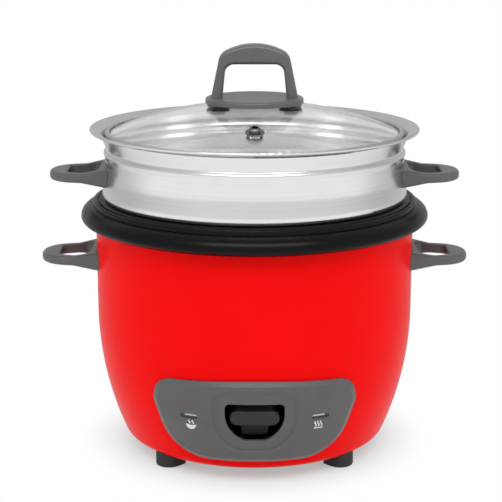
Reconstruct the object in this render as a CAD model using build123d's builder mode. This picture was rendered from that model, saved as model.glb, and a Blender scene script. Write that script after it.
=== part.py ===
from build123d import *
import math
import os

# A pot-style rice cooker: red shell, lift-out inner pot, steamer tray and glass lid.
# Millimetres, +Z up, origin on the table under the pot's axis. The control panel faces -Y.

# Clearances
fit_gap = 0.1          # between fixed pieces that seat on a curved wall
seat_gap = 0.3         # between a lift-out piece and the curved wall that it sits in
run_gap = 0.05         # between a pin or rod and its bore, on the radius

# The pot's outside radius, which the other radii follow
pot_radius = 84.0

# Outer shell, pressed and painted steel
shell_radius = pot_radius + 11.6
shell_wall = 1.2
shell_floor_z = 7.0
shell_bend_z = 85.0            # below this height the wall curves inwards
shell_sweep_radius = 189.0
shell_corner_radius = 7.0
shell_floor_hole_radius = pot_radius - 26.0

# Top ring, moulded
ring_half_width = 9.0
ring_wall = 2.2
ring_centre_radius = shell_radius - 0.2
ring_z = 142.5                 # height of the ring's widest line
ring_rise = 7.0                # from there up to the crest
ring_drop = 4.8                # and from there down to the shell
ring_rise_radius = 5.6         # of the arcs above and below the widest line
ring_drop_radius = 3.0
ring_collar_radius = shell_radius + 1.4
ring_collar_height = 2.5       # above the crest
ring_collar_round = 0.8
ring_recess_radius = pot_radius + 10.3
ring_recess_depth = 0.9        # the pot's flange lies in it
ring_seat_inner_radius = pot_radius + 3.6

# Inner pot, drawn aluminium
pot_wall = 1.2
pot_floor_z = 58.0
pot_corner_radius = 16.0
pot_neck_radius = 3.0
pot_flange_gap = 0.5           # between the flange's edge and the ring's recess

# Heat shield, a steel liner round the pot
liner_wall = 1.0
liner_gap = 2.0                # between the pot's wall and the liner
liner_cone_z = 72.0
liner_floor_radius = pot_radius - 12.0
liner_floor_hole_radius = pot_radius - 32.0
liner_bends = (2.0, 10.0, 4.0)  # at the flange, the cone's top and the floor
liner_floor_drop = 12.0        # from the pot's floor down to the liner's floor

# Heating plate and its element, cast aluminium and a steel tube
plate_radius = pot_radius - 16.0
plate_thickness = 9.0
plate_hole_radius = 20.0
plate_edge_radius = 3.0
element_ring_radius = plate_radius - 22.0
element_tube_radius = 3.5
element_arc = 300.0
terminal_radius = 1.5
terminal_length = 9.0
post_radius = 5.0
post_ring_radius = plate_radius - 8.0
post_count = 3
plate_screw_radius = 1.8
plate_screw_bite = 5.0          # screw length inside the plate
plate_screw_head_radius = 3.4
plate_screw_head_height = 1.6

# Sensor and magnet in the middle of the plate
sensor_cap_radius = 18.5
sensor_cap_wall = 1.5
sensor_cap_skirt = 5.0
sensor_cap_bend = 2.5
sensor_cap_gap = 0.2           # between the cap and the pot's floor
sensor_travel = 3.0
ferrite_radius = 9.0
ferrite_height = 6.0
can_radius = 16.5
can_wall = 1.2
can_depth = 15.0
can_flange_radius = 26.0
can_bends = (1.5, 2.5)          # at the flange and the floor
magnet_radius = 9.0
magnet_height = 6.0
magnet_floor_gap = 0.5
rod_radius = 3.0
rod_drop = 5.0                 # rod below the can, down to the lever

# Springs
sensor_spring_radius = 12.4
sensor_spring_wire = 0.6
sensor_spring_turns = 6
magnet_spring_radius = 5.0
magnet_spring_wire = 0.4
magnet_spring_turns = 4
spring_end_gap = 0.1

# Cook lever, its bracket and the paddle that a finger presses
bracket_can_gap = 1.5          # from the can's flange to the bracket
bracket_element_gap = 2.0      # from the bracket to the element's tube
bracket_length = (
    element_ring_radius - element_tube_radius - bracket_element_gap - can_flange_radius - bracket_can_gap
)
lever_pivot_y = -(can_flange_radius + bracket_can_gap + bracket_length / 2)
lever_pivot_drop = 11.0        # pivot below the heating plate
lever_width = 10.0
lever_thickness = 1.6
lever_bend = 3.0
lever_sleeve_radius = 3.8
lever_pin_radius = 2.0
lever_press_angle = 6.0        # most degrees that the lever turns
bracket_wall = 1.6
bracket_side_gap = 0.4
bracket_ear_radius = 6.5
lever_tail_reach = 2.0         # tail past the rod
lever_crank_foot = 14.0        # from the pivot back to the foot of the crank
lever_rise_length = 12.0       # front stretch where the strip climbs to the paddle

# Control panel
panel_top_z = 66.6             # top edge at the middle
panel_top_fall = 3.4           # how far the top edge falls at its corners
panel_low_z = 14.0
panel_top_half_width = 55.5
panel_half_width = 58.2
panel_low_half_width = 46.5
panel_shoulder_z = 50.0        # height where it is widest
panel_top_corner = 11.0
panel_shoulder_corner = 10.0
panel_low_corner = 30.0
panel_crown = 300.0            # radius of the top edge
panel_thickness = 3.2
panel_bevel = 1.8              # how far the bevelled edge steps back
panel_bevel_width = 2.6
panel_hole_gap = 1.0           # the shell's holes are this much larger than the panel's
switch_half_width = 16.9
switch_top_z = 52.2
switch_low_z = 29.0
switch_low_half_width = 6.0
switch_shoulder_z = 45.0       # below this height the sides curve in
switch_side_sag = 2.8
switch_corner_radius = 3.0
dish_border = 6.3
dish_depth = 1.2
dish_slope_depth = 1.1          # sloped wall round the dish
dish_slope_width = 2.6
paddle_half_width = 14.0
paddle_low_z = 38.9
paddle_high_z = 47.3
paddle_inset = 1.0             # paddle's front behind the panel's face
paddle_depth = 12.5
paddle_edge_radius = 1.2
paddle_socket = 8.0            # how deep the lever goes into the paddle
skirt_half_width = 9.0
skirt_low_half_width = 7.2
skirt_low_z = 30.0
skirt_thickness = 2.0

# Indicator windows
lamp_x = 36.0
lamp_z = 43.4
lamp_width = 10.6
lamp_height = 2.8
lamp_tube_radius = 2.4
lamp_tube_length = 9.0
lens_depth = 5.0
lens_inset = 0.4               # lens face below the panel's face

# Panel studs and their push nuts
stud_x = 46.0
stud_z = 34.0
stud_radius = 2.0
stud_length = 4.5
nut_radius = 5.0
nut_thickness = 0.8
nut_inset = 1.6                # nut's face below the shell's outside

# Side handles, the same moulding on the shell and on the steamer
handle_length = 33.5
handle_root_half_width = 24.0
handle_tip_half_width = 15.5
handle_tip_corner = 18.0
handle_half_thickness = 2.8
handle_root_half_height = 4.8
handle_flat_length = 20.5      # flat stretch at the tip
handle_flare_length = handle_length - handle_flat_length
handle_rise = 0.6              # how much more the flare grows upwards than downwards
handle_edge_radius = 2.0
window_start = 3.5             # from the wall to the finger window
window_end = 11.0              # from the window to the handle's tip
window_root_half_width = 17.5
window_tip_half_width = 11.0
window_corner = 4.0
window_edge_bevel = 0.7
body_handle_z = 115.8
steamer_handle_height = 13.4     # above the tray's shoulder
handle_screw_y = 19.4          # screws run in the handle's arms, beside the window
handle_screw_radius = 1.5
handle_screw_depth = 7.2
handle_screw_head_radius = 3.0
handle_screw_head_height = 1.6
handle_screw_gap = 0.2

# Steamer tray, spun aluminium
tray_wall = 0.9
tray_lip_radius = pot_radius + 13.3
tray_lip_height = 41.3          # heights of the tray's bends above its shoulder
tray_lip_bead = 0.9
tray_neck_radius = pot_radius + 8.2
tray_neck_height = 39.2
tray_waist_radius = pot_radius + 4.6
tray_waist_height = 30.2
tray_bead_radius = pot_radius + 6.5
tray_bead_height = 27.8
tray_wall_radius = pot_radius + 5.5
tray_groove_height = 24.9
tray_wall_height = 13.9
tray_heel_radius = pot_radius + 7.4
tray_heel_height = 4.6
tray_radii = (2.5, 1.6, 2.2, 2.5, 24.0, 8.0, 3.0, 1.6, 3.6)  # at each bend, from the lip down
tray_nest_gap = 1.0            # between the nesting skirt and the pot's wall
tray_nest_depth = 6.0
tray_hole_radius = 2.5
tray_hole_pitch = 19.0
tray_hole_rings = 3
tray_hole_step = 6             # holes added on each ring

# Glass lid
glass_sphere_radius = 235.0
glass_thickness = 3.6
glass_skirt_start = tray_waist_radius - 2.4
glass_seat_height = 9.2        # top of the glass's skirt above the tray's waist
glass_edge_round = 1.0
lid_rim_wall = 0.8
lid_rim_lip = 2.6
lid_rim_bend = 1.2
lid_rim_glass_gap = 0.1

# Lid handle
knob_base_length = 58.6
knob_base_width = 56.0
knob_base_gap = 0.3            # between the base and the glass at its apex
knob_base_height = 3.4
knob_base_round = 1.6
knob_leg_half_width = 26.2     # outer half width where the legs meet the base
knob_top_half_width = 20.6     # where the arch meets the legs
knob_height = 35.0             # top of the arch above the glass
knob_arch_rise = 6.2           # from the legs' tops to the arch's top
knob_shoulder_radius = 8.0
knob_window_base_half_width = 19.4
knob_window_top_half_width = 17.0
knob_window_height = 23.4
knob_window_radius = 5.5
knob_depth = 14.0
knob_edge_radius = 2.2
knob_screw_x = 21.5
knob_screw_radius = 2.0
knob_screw_gap = 0.2
knob_screw_depth = 10.0
knob_screw_head_radius = 4.0
knob_screw_head_height = 2.2
gasket_radius = 6.6
washer_radius = 6.6
washer_thickness = 1.0

# Steam vent in the glass
vent_y = 23.4 - glass_skirt_start
vent_flange_radius = 5.4
vent_flange_height = 0.9
vent_collar_radius = 3.3
vent_collar_height = 3.6
vent_bore_radius = 1.8
vent_hole_gap = 0.2
vent_lower_radius = 4.6

# Base plate, feet and screws
base_thickness = 2.4
base_radius = pot_radius - 18.0
base_slot_length = 22.0
base_slot_width = 4.0
base_slot_x = 36.0             # middle of each group of cooling slots
base_slot_pitch = 9.0
base_slot_rows = 5
base_screw_ring = base_radius - 4.5
base_screw_radius = 1.7
base_screw_head_radius = 3.2
base_screw_head_height = 1.4
base_screw_reach = 2.0         # screw tip above the shell's floor
base_screw_count = 4
foot_ring = pot_radius - 12.5
foot_radius = 8.0
foot_length = 20.0
foot_round = 0.8
foot_stud_ring = foot_ring - 1.5
foot_stud_radius = 3.0
foot_stud_head_radius = 4.0
foot_stud_head_height = 1.4
foot_count = 4

# Contact switch, terminal block and thermal fuse
contact_size = (24.0, 12.0, 9.0)
contact_inset = 8.0            # from the base plate's edge in to the switch's middle
contact_y = contact_inset - base_radius
contact_plunger_radius = 2.0
contact_plunger_gap = 0.5      # plunger below the pressed lever
contact_boss_radius = 4.5
contact_boss_y = -52.0
terminal_size = (32.0, 16.0, 12.0)
block_corner = 1.2             # rounded corners of both electrical blocks
terminal_block_y = 38.0
terminal_screw_radius = 2.4
terminal_screw_pitch = 10.0
fuse_radius = 3.0
fuse_length = 24.0
fuse_y = 34.0
clip_wall = 1.0
clip_width = 8.0
clip_foot = 2.5

# Cord gland in the back of the shell
gland_z = 22.0
gland_bore_radius = 3.6
gland_neck_radius = 5.6
gland_flange_radius = 7.6
gland_flange_height = 6.0
gland_flange_round = 1.5
gland_inside = 6.0             # how far the bush reaches inside the shell

# Heights that follow from the sizes above
ring_collar_z = ring_z + ring_rise + ring_collar_height
ring_seat_z = ring_collar_z - ring_recess_depth
shell_top_z = ring_seat_z - ring_wall
pot_rim_z = ring_seat_z + pot_wall
pot_flange_radius = ring_recess_radius - pot_flange_gap
liner_radius = pot_radius + liner_gap + liner_wall
liner_floor_z = pot_floor_z - liner_floor_drop
plate_low_z = pot_floor_z - plate_thickness
tray_floor_z = pot_rim_z + seat_gap
nest_radius = pot_radius - pot_wall - tray_nest_gap
cap_top_z = pot_floor_z - sensor_cap_gap
ferrite_low_z = cap_top_z - sensor_cap_wall - ferrite_height
can_floor_z = plate_low_z - can_depth
magnet_low_z = can_floor_z + can_wall + magnet_floor_gap
rod_low_z = can_floor_z - rod_drop
lever_pivot_z = plate_low_z - lever_pivot_drop
lever_tail_z = rod_low_z - seat_gap
base_low_z = shell_floor_z - base_thickness
tray_lip_z = tray_floor_z + tray_lip_height
tray_neck_z = tray_floor_z + tray_neck_height
tray_waist_z = tray_floor_z + tray_waist_height
tray_bead_z = tray_floor_z + tray_bead_height
tray_groove_z = tray_floor_z + tray_groove_height
tray_wall_z = tray_floor_z + tray_wall_height
tray_heel_z = tray_floor_z + tray_heel_height
steamer_handle_z = tray_floor_z + steamer_handle_height
skirt_top_z = tray_waist_z + glass_seat_height
glass_centre_z = skirt_top_z - math.sqrt(glass_sphere_radius**2 - glass_skirt_start**2)
glass_apex_z = glass_centre_z + glass_sphere_radius
knob_top_z = glass_apex_z + knob_height
knob_window_top_z = glass_apex_z + knob_window_height
knob_base_low_z = glass_apex_z + knob_base_gap
knob_base_top_z = knob_base_low_z + knob_base_height

os.makedirs("parts", exist_ok=True)


def keep(piece, name):
    """Label a finished sub-part and write it to its own file."""
    piece.label = name
    export_step(piece, f"parts/{name}.step")


def shell_outside_radius(z):
    """Radius of the shell's outer wall at a height above its bottom corner."""
    if z >= shell_bend_z:
        return shell_radius
    drop = shell_bend_z - z
    return shell_radius - shell_sweep_radius + math.sqrt(shell_sweep_radius**2 - drop**2)


def shell_form(grow):
    """Half section of the space inside the shell's outer face, grown outwards."""
    sweep_radius = shell_sweep_radius + grow
    floor_z = shell_floor_z - grow
    turn = math.degrees(math.asin((shell_bend_z - floor_z) / sweep_radius))
    with BuildSketch(Plane.XZ) as section:
        with BuildLine():
            top = Line((0, shell_top_z), (shell_radius + grow, shell_top_z))
            wall = Line(top @ 1, (shell_radius + grow, shell_bend_z))
            sweep_in = JernArc(wall @ 1, (0, -1), sweep_radius, -turn)
            floor = Line(sweep_in @ 1, (0, floor_z))
            Line(floor @ 1, top @ 0)
        make_face()
        corner = section.vertices().group_by(Axis.Y)[0].sort_by(Axis.X)[-1]
        fillet(corner, shell_corner_radius + grow)
    return section.sketch


def ring_arcs(height, end_radius, inset):
    """Radius and turn of the two arcs of a quarter oval, from the ring's widest line to its crest or foot."""
    reach = ring_half_width - end_radius
    flat_radius = (reach**2 + height**2 - end_radius**2) / (2 * (height - end_radius))
    turn = math.degrees(math.atan2(flat_radius - height, reach))
    return (end_radius - inset, turn), (flat_radius - inset, 90 - turn)


def sheet_section(points, radii, wall, plane=Plane.XZ, side=Side.RIGHT):
    """Section of a formed sheet: one rounded line with the wall's thickness to one side."""
    with BuildSketch(plane) as section:
        with BuildLine():
            FilletPolyline(*points, radius=radii)
            offset(amount=wall, side=side)
        make_face()
    return section.sketch


def wall_plane(x, z):
    """Plane on the front of the shell's wall at x and z, square to the wall."""
    radius = shell_outside_radius(z)
    turn = math.asin(x / radius)
    tilt = math.asin((shell_bend_z - z) / shell_sweep_radius)
    outward = Vector(math.cos(tilt) * math.sin(turn), -math.cos(tilt) * math.cos(turn), -math.sin(tilt))
    place = (radius * math.sin(turn), -radius * math.cos(turn), z)
    return Plane(place, x_dir=(math.cos(turn), math.sin(turn), 0), z_dir=outward)


def switch_outline(grow):
    """D-shaped outline of the switch opening in the front view, grown by a border."""
    half = switch_half_width + grow
    corner = Vector(half, switch_shoulder_z)
    toe = Vector(switch_low_half_width + grow / 2, switch_low_z - grow)
    across = (corner - toe).normalized()
    bulge = (corner + toe) * 0.5 + Vector(across.Y, -across.X) * (switch_side_sag + grow / 4)
    with BuildSketch(Plane.XZ) as outline:
        with BuildLine():
            top_z = switch_top_z + grow
            top = Polyline((-corner.X, corner.Y), (-half, top_z), (half, top_z), corner)
            ThreePointArc(top @ 1, bulge, toe)
            Line(toe, (-toe.X, toe.Y))
            ThreePointArc((-toe.X, toe.Y), (-bulge.X, bulge.Y), top @ 0)
        make_face()
        fillet(outline.vertices().group_by(Axis.Y)[-1], switch_corner_radius + grow)
    return outline.sketch


def helix_spring(coil_radius, wire_radius, turns, low_z, high_z):
    """A coil spring on the Z axis, swept along half-turn pairs of arcs from low to high."""
    start_z = low_z + wire_radius
    rise = high_z - wire_radius - start_z
    steps = 4 * turns

    def on_coil(step):
        angle = 2 * math.pi * step / 4
        across = Vector(math.cos(angle), math.sin(angle), 0)
        ahead = Vector(-math.sin(angle), math.cos(angle), 0)
        place = across * coil_radius + Vector(0, 0, start_z + rise * step / steps)
        heading = ahead * coil_radius + Vector(0, 0, rise / (2 * math.pi * turns))
        return place, heading.normalized()

    def arc_between(first, heading, last):
        chord = last - first
        along = chord.dot(heading)
        side = chord - heading * along
        bend = math.atan2(side.length, along)
        centre = (first + last) * 0.5
        sag = chord.length / 2 * math.tan(bend / 2)
        away = heading - chord.normalized() * heading.dot(chord.normalized())
        middle = centre + away.normalized() * sag
        return ThreePointArc(first, middle, last)

    with BuildPart() as spring:
        with BuildLine() as path:
            for step in range(steps):
                first, first_heading = on_coil(step)
                last, last_heading = on_coil(step + 1)
                span = last - first
                both = first_heading + last_heading
                bend = 2 * (first_heading.dot(last_heading) - 1)
                reach = (span.dot(both) - math.sqrt(span.dot(both) ** 2 - bend * span.dot(span))) / bend
                joint = (first + first_heading * reach + last - last_heading * reach) * 0.5
                arc_between(first, first_heading, joint)
                end_heading = ((last - last_heading * reach) - (first + first_heading * reach)).normalized()
                arc_between(joint, end_heading, last)
        wire = path.wire()
        with BuildSketch(Plane(wire @ 0, z_dir=wire % 0)):
            Circle(wire_radius)
        sweep(path=wire)
    samples = 60 * turns
    points = [wire @ (step / samples) for step in range(samples + 1)]
    spans = [(points[i] - points[j]).length for i in range(samples) for j in range(i + 40, samples + 1)]
    drawn = math.pi * wire_radius**2 * wire.length
    print(f"spring of radius {coil_radius}: least gap between turns {min(spans) - 2 * wire_radius:.2f} mm,")
    print(f"  volume {spring.part.volume:.1f}, wire section times length {drawn:.1f}")
    return spring.part


# Outer shell, with its holes for the switch, lamps, studs, handle screws, feet, screws and gland
with BuildPart() as outer_shell:
    revolve(shell_form(0), axis=Axis.Z)
    revolve(shell_form(-shell_wall), axis=Axis.Z, mode=Mode.SUBTRACT)
    with Locations((0, 0, shell_floor_z)):
        Cylinder(shell_floor_hole_radius, 4 * shell_wall, mode=Mode.SUBTRACT)
    extrude(switch_outline(panel_hole_gap), amount=shell_radius, mode=Mode.SUBTRACT)
    for side in (-1, 1):
        with BuildSketch(wall_plane(side * lamp_x, lamp_z)):
            Rectangle(lamp_width + panel_hole_gap, lamp_height + panel_hole_gap)
        extrude(amount=4 * shell_wall, both=True, mode=Mode.SUBTRACT)
        with BuildSketch(wall_plane(side * stud_x, stud_z)):
            Circle(stud_radius + fit_gap)
        extrude(amount=4 * shell_wall, both=True, mode=Mode.SUBTRACT)
    with BuildSketch(Plane.YZ):
        with Locations((-handle_screw_y, body_handle_z), (handle_screw_y, body_handle_z)):
            Circle(handle_screw_radius + handle_screw_gap)
    extrude(amount=2 * shell_radius, both=True, mode=Mode.SUBTRACT)
    with BuildSketch(Plane.XY.offset(shell_floor_z)):
        with PolarLocations(foot_stud_ring, foot_count, start_angle=45):
            Circle(foot_stud_radius + fit_gap)
        with PolarLocations(base_screw_ring, base_screw_count):
            Circle(base_screw_radius + fit_gap)
    extrude(amount=2 * shell_wall, mode=Mode.SUBTRACT)
    with BuildSketch(Plane.XZ):
        with Locations((0, gland_z)):
            Circle(gland_neck_radius + fit_gap)
    extrude(amount=-shell_radius, mode=Mode.SUBTRACT)
keep(outer_shell.part, "outer_shell")

# Top ring: a half-round bead with a seat for the pot's flange and for the shell's edge
with BuildPart() as top_ring:
    with BuildSketch(Plane.XZ) as ring_section:
        for inset, mode in ((0, Mode.ADD), (ring_wall, Mode.SUBTRACT)):
            widest = (ring_centre_radius + ring_half_width - inset, ring_z)
            with BuildLine():
                (end_radius, end_turn), (flat_radius, flat_turn) = ring_arcs(ring_rise, ring_rise_radius, inset)
                rise = JernArc(widest, (0, 1), end_radius, end_turn)
                crest = JernArc(rise @ 1, rise % 1, flat_radius, flat_turn)
                (end_radius, end_turn), (flat_radius, flat_turn) = ring_arcs(ring_drop, ring_drop_radius, inset)
                drop = JernArc(widest, (0, -1), end_radius, -end_turn)
                foot = JernArc(drop @ 1, drop % 1, flat_radius, -flat_turn)
                Line(crest @ 1, foot @ 1)
            make_face(mode=mode)
        with Locations((ring_seat_inner_radius, ring_seat_z)):
            Rectangle(ring_collar_radius - ring_seat_inner_radius, ring_wall, align=(Align.MIN, Align.MAX))
        with Locations((ring_collar_radius, ring_collar_z)):
            Rectangle(ring_collar_radius - ring_recess_radius, ring_collar_z - shell_top_z, align=Align.MAX)
        with Locations((shell_radius + fit_gap, shell_top_z)):
            Rectangle(3 * ring_wall, 3 * ring_half_width, align=Align.MAX, mode=Mode.SUBTRACT)
        fillet(ring_section.vertices().group_by(Axis.Y)[-1], ring_collar_round)
    revolve(axis=Axis.Z)
keep(top_ring.part, "top_ring")

# Base plate with cooling slots, and bosses for the contact switch
with BuildPart() as base_plate:
    with BuildSketch(Plane.XY.offset(base_low_z)):
        Circle(base_radius)
        with GridLocations(2 * base_slot_x, base_slot_pitch, 2, base_slot_rows):
            SlotOverall(base_slot_length, base_slot_width, mode=Mode.SUBTRACT)
        with PolarLocations(base_screw_ring, base_screw_count):
            Circle(base_screw_radius + fit_gap, mode=Mode.SUBTRACT)
    extrude(amount=base_thickness)
    fillet(base_plate.edges().group_by(Axis.Z)[0].sort_by(SortBy.LENGTH)[-1], base_thickness / 3)
    contact_top_z = lever_pivot_z - lever_thickness / 2 - contact_plunger_gap
    contact_reach = lever_pivot_y - contact_y + contact_plunger_radius
    contact_top_z -= contact_reach * math.sin(math.radians(lever_press_angle))
    contact_low_z = contact_top_z - contact_size[2] - contact_plunger_radius
    with BuildSketch(Plane.XY.offset(shell_floor_z)):
        with Locations((-contact_size[0] / 3, contact_boss_y), (contact_size[0] / 3, contact_boss_y)):
            Circle(contact_boss_radius)
    extrude(amount=contact_low_z - shell_floor_z)
keep(base_plate.part, "base_plate")

# Base screws, from below into the shell's floor
with BuildPart() as base_screws:
    with PolarLocations(base_screw_ring, base_screw_count):
        with Locations((0, 0, base_low_z)):
            Cylinder(
                base_screw_head_radius,
                base_screw_head_height,
                align=(Align.CENTER, Align.CENTER, Align.MAX),
            )
            Cylinder(
                base_screw_radius,
                base_thickness + shell_wall + base_screw_reach,
                align=(Align.CENTER, Align.CENTER, Align.MIN),
            )
    chamfer(base_screws.edges().group_by(Axis.Z)[0], base_screw_head_height / 3)
keep(base_screws.part, "base_screws")

# Feet: radial pads under the shell's rounded corner, each on a push-in stud
with BuildPart() as feet:
    with BuildSketch(Plane.XY):
        with PolarLocations(foot_ring - (foot_length / 2 - foot_radius), foot_count, start_angle=45):
            SlotOverall(foot_length, 2 * foot_radius)
    extrude(amount=shell_floor_z + shell_corner_radius / 2)
    revolve(shell_form(fit_gap), axis=Axis.Z, mode=Mode.SUBTRACT)
    with BuildSketch(Plane.XY):
        Circle(base_radius + fit_gap)
    extrude(amount=shell_floor_z, mode=Mode.SUBTRACT)
    fillet(feet.edges().group_by(Axis.Z)[0], foot_round)
    with BuildSketch(Plane.XY.offset(base_low_z)):
        with PolarLocations(foot_stud_ring, foot_count, start_angle=45):
            Circle(foot_stud_radius)
    extrude(amount=base_thickness + shell_wall + fit_gap)
    with BuildSketch(Plane.XY.offset(shell_floor_z + shell_wall + fit_gap)):
        with PolarLocations(foot_stud_ring, foot_count, start_angle=45):
            Circle(foot_stud_head_radius)
    extrude(amount=foot_stud_head_height, taper=30)
keep(feet.part, "feet")

# Inner pot: flange on the ring's seat, straight wall and a rounded floor
with BuildPart() as inner_pot:
    pot_line = (
        (pot_flange_radius, ring_seat_z),
        (pot_radius, ring_seat_z),
        (pot_radius, pot_floor_z),
        (0, pot_floor_z),
    )
    revolve(sheet_section(pot_line, (pot_neck_radius, pot_corner_radius), pot_wall), axis=Axis.Z)
keep(inner_pot.part, "inner_pot")

# Heat shield: hangs under the ring's seat, narrows to a floor that carries the heating plate
with BuildPart() as heat_shield:
    liner_line = (
        (shell_radius - shell_wall - fit_gap, shell_top_z - liner_wall),
        (liner_radius, shell_top_z - liner_wall),
        (liner_radius, liner_cone_z),
        (liner_floor_radius, liner_floor_z),
        (liner_floor_hole_radius, liner_floor_z),
    )
    revolve(sheet_section(liner_line, liner_bends, liner_wall), axis=Axis.Z)
    with BuildSketch(Plane.XY.offset(liner_floor_z)):
        with PolarLocations(post_ring_radius, post_count, start_angle=90):
            Circle(plate_screw_radius + fit_gap)
    extrude(amount=liner_wall, mode=Mode.SUBTRACT)
keep(heat_shield.part, "heat_shield")

# Heating plate: flat top for the pot, a groove for the element and tapped blind holes
with BuildPart() as heating_plate:
    with BuildSketch(Plane.XZ):
        with Locations((plate_hole_radius, plate_low_z)):
            Rectangle(plate_radius - plate_hole_radius, plate_thickness, align=Align.MIN)
        with Locations((element_ring_radius, plate_low_z)):
            Circle(element_tube_radius + fit_gap, mode=Mode.SUBTRACT)
    revolve(axis=Axis.Z)
    rims = heating_plate.edges().filter_by(GeomType.CIRCLE).group_by(Axis.Z)[-1]
    fillet(rims.sort_by(SortBy.RADIUS)[-1], plate_edge_radius)
    with BuildSketch(Plane.XY.offset(plate_low_z)):
        with PolarLocations(post_ring_radius, post_count, start_angle=90):
            Circle(plate_screw_radius + fit_gap)
    extrude(amount=plate_screw_bite + fit_gap, mode=Mode.SUBTRACT)
keep(heating_plate.part, "heating_plate")

# Heating element: an open ring of steel tube in the plate's groove, with two cold pins
with BuildPart() as heating_element:
    opening = (360 - element_arc) / 2
    with BuildSketch(Plane.XZ.rotated((0, 0, 90 + opening))):
        with Locations((element_ring_radius, plate_low_z)):
            Circle(element_tube_radius)
    revolve(axis=Axis.Z, revolution_arc=element_arc)
    pin_turn = opening + math.degrees(2 * terminal_radius / element_ring_radius)
    for side in (-1, 1):
        with BuildSketch(Plane.XY.offset(plate_low_z)):
            with PolarLocations(element_ring_radius, 1, start_angle=90 + side * pin_turn):
                Circle(terminal_radius)
        extrude(amount=-element_tube_radius - terminal_length)
keep(heating_element.part, "heating_element")

# Spacers between the heat shield's floor and the plate, with their screws
with BuildPart() as plate_spacers:
    with BuildSketch(Plane.XY.offset(liner_floor_z + liner_wall)):
        with PolarLocations(post_ring_radius, post_count, start_angle=90):
            Circle(post_radius)
            Circle(plate_screw_radius + fit_gap, mode=Mode.SUBTRACT)
    extrude(amount=plate_low_z - liner_floor_z - liner_wall)
keep(plate_spacers.part, "plate_spacers")

with BuildPart() as plate_screws:
    with BuildSketch(Plane.XY.offset(liner_floor_z)):
        with PolarLocations(post_ring_radius, post_count, start_angle=90):
            Circle(plate_screw_head_radius)
    extrude(amount=-plate_screw_head_height)
    with BuildSketch(Plane.XY.offset(liner_floor_z)):
        with PolarLocations(post_ring_radius, post_count, start_angle=90):
            Circle(plate_screw_radius)
    extrude(amount=plate_low_z - liner_floor_z + plate_screw_bite)
    chamfer(plate_screws.edges().group_by(Axis.Z)[0], plate_screw_head_height / 3)
keep(plate_screws.part, "plate_screws")

# Sensor can: a flanged cup under the plate's hole, with a bore for the magnet's rod
with BuildPart() as sensor_can:
    can_line = (
        (can_flange_radius, plate_low_z - can_wall),
        (can_radius, plate_low_z - can_wall),
        (can_radius, can_floor_z),
        (rod_radius + run_gap, can_floor_z),
    )
    revolve(sheet_section(can_line, can_bends, can_wall), axis=Axis.Z)
keep(sensor_can.part, "sensor_can")

# Sensor cap that the pot presses down, and the ferrite disc under it
with BuildPart() as sensor_cap:
    cap_line = (
        (sensor_cap_radius, cap_top_z - sensor_cap_skirt),
        (sensor_cap_radius, cap_top_z),
        (0, cap_top_z),
    )
    revolve(sheet_section(cap_line, (sensor_cap_bend,), sensor_cap_wall, side=Side.LEFT), axis=Axis.Z)
keep(sensor_cap.part, "sensor_cap")

with BuildPart() as ferrite:
    with Locations((0, 0, ferrite_low_z)):
        Cylinder(ferrite_radius, ferrite_height, align=(Align.CENTER, Align.CENTER, Align.MIN))
keep(ferrite.part, "ferrite")

# Magnet on its rod: the rod's round tip stands on the lever's tail
with BuildPart() as magnet:
    with BuildSketch(Plane.XZ):
        with Locations((0, magnet_low_z)):
            Rectangle(magnet_radius, magnet_height, align=Align.MIN)
        with Locations((0, rod_low_z + rod_radius)):
            Rectangle(rod_radius, magnet_low_z - rod_low_z, align=Align.MIN)
            Circle(rod_radius)
        with Locations((0, rod_low_z)):
            Rectangle(2 * rod_radius, 2 * rod_radius, align=(Align.MAX, Align.MIN), mode=Mode.SUBTRACT)
    revolve(axis=Axis.Z)
keep(magnet.part, "magnet")

# Springs inside the can
sensor_spring = helix_spring(
    sensor_spring_radius,
    sensor_spring_wire,
    sensor_spring_turns,
    can_floor_z + can_wall + spring_end_gap,
    cap_top_z - sensor_cap_wall - spring_end_gap,
)
keep(sensor_spring, "sensor_spring")
magnet_spring = helix_spring(
    magnet_spring_radius,
    magnet_spring_wire,
    magnet_spring_turns,
    magnet_low_z + magnet_height + spring_end_gap,
    ferrite_low_z - spring_end_gap,
)
keep(magnet_spring, "magnet_spring")

# Cook lever: a bent steel strip that turns on a sleeve, its front end inside the paddle
paddle_front_y = paddle_inset - shell_outside_radius(paddle_low_z) - panel_thickness
paddle_mid_z = (paddle_low_z + paddle_high_z) / 2
lever_top_z = lever_pivot_z + lever_thickness / 2
lever_front_z = paddle_mid_z + lever_thickness / 2
paddle_back_y = paddle_front_y + paddle_depth
with BuildPart() as cook_lever:
    lever_line = (
        (rod_radius + lever_tail_reach, lever_tail_z),
        (lever_pivot_y + lever_crank_foot, lever_tail_z),
        (lever_pivot_y + lever_sleeve_radius, lever_top_z),
        (paddle_back_y + lever_rise_length, lever_top_z),
        (paddle_back_y + lever_rise_length / 3, lever_front_z),
        (paddle_back_y - paddle_socket, lever_front_z),
    )
    strip = sheet_section(lever_line, 4 * (lever_bend,), lever_thickness, Plane.YZ, Side.LEFT)
    extrude(strip, amount=lever_width / 2, both=True)
    with BuildSketch(Plane.YZ):
        with Locations((lever_pivot_y, lever_pivot_z)):
            Circle(lever_sleeve_radius)
    extrude(amount=lever_width / 2, both=True)
    with BuildSketch(Plane.YZ):
        with Locations((lever_pivot_y, lever_pivot_z)):
            Circle(lever_pin_radius + run_gap)
    extrude(amount=lever_width, both=True, mode=Mode.SUBTRACT)
keep(cook_lever.part, "cook_lever")

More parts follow.
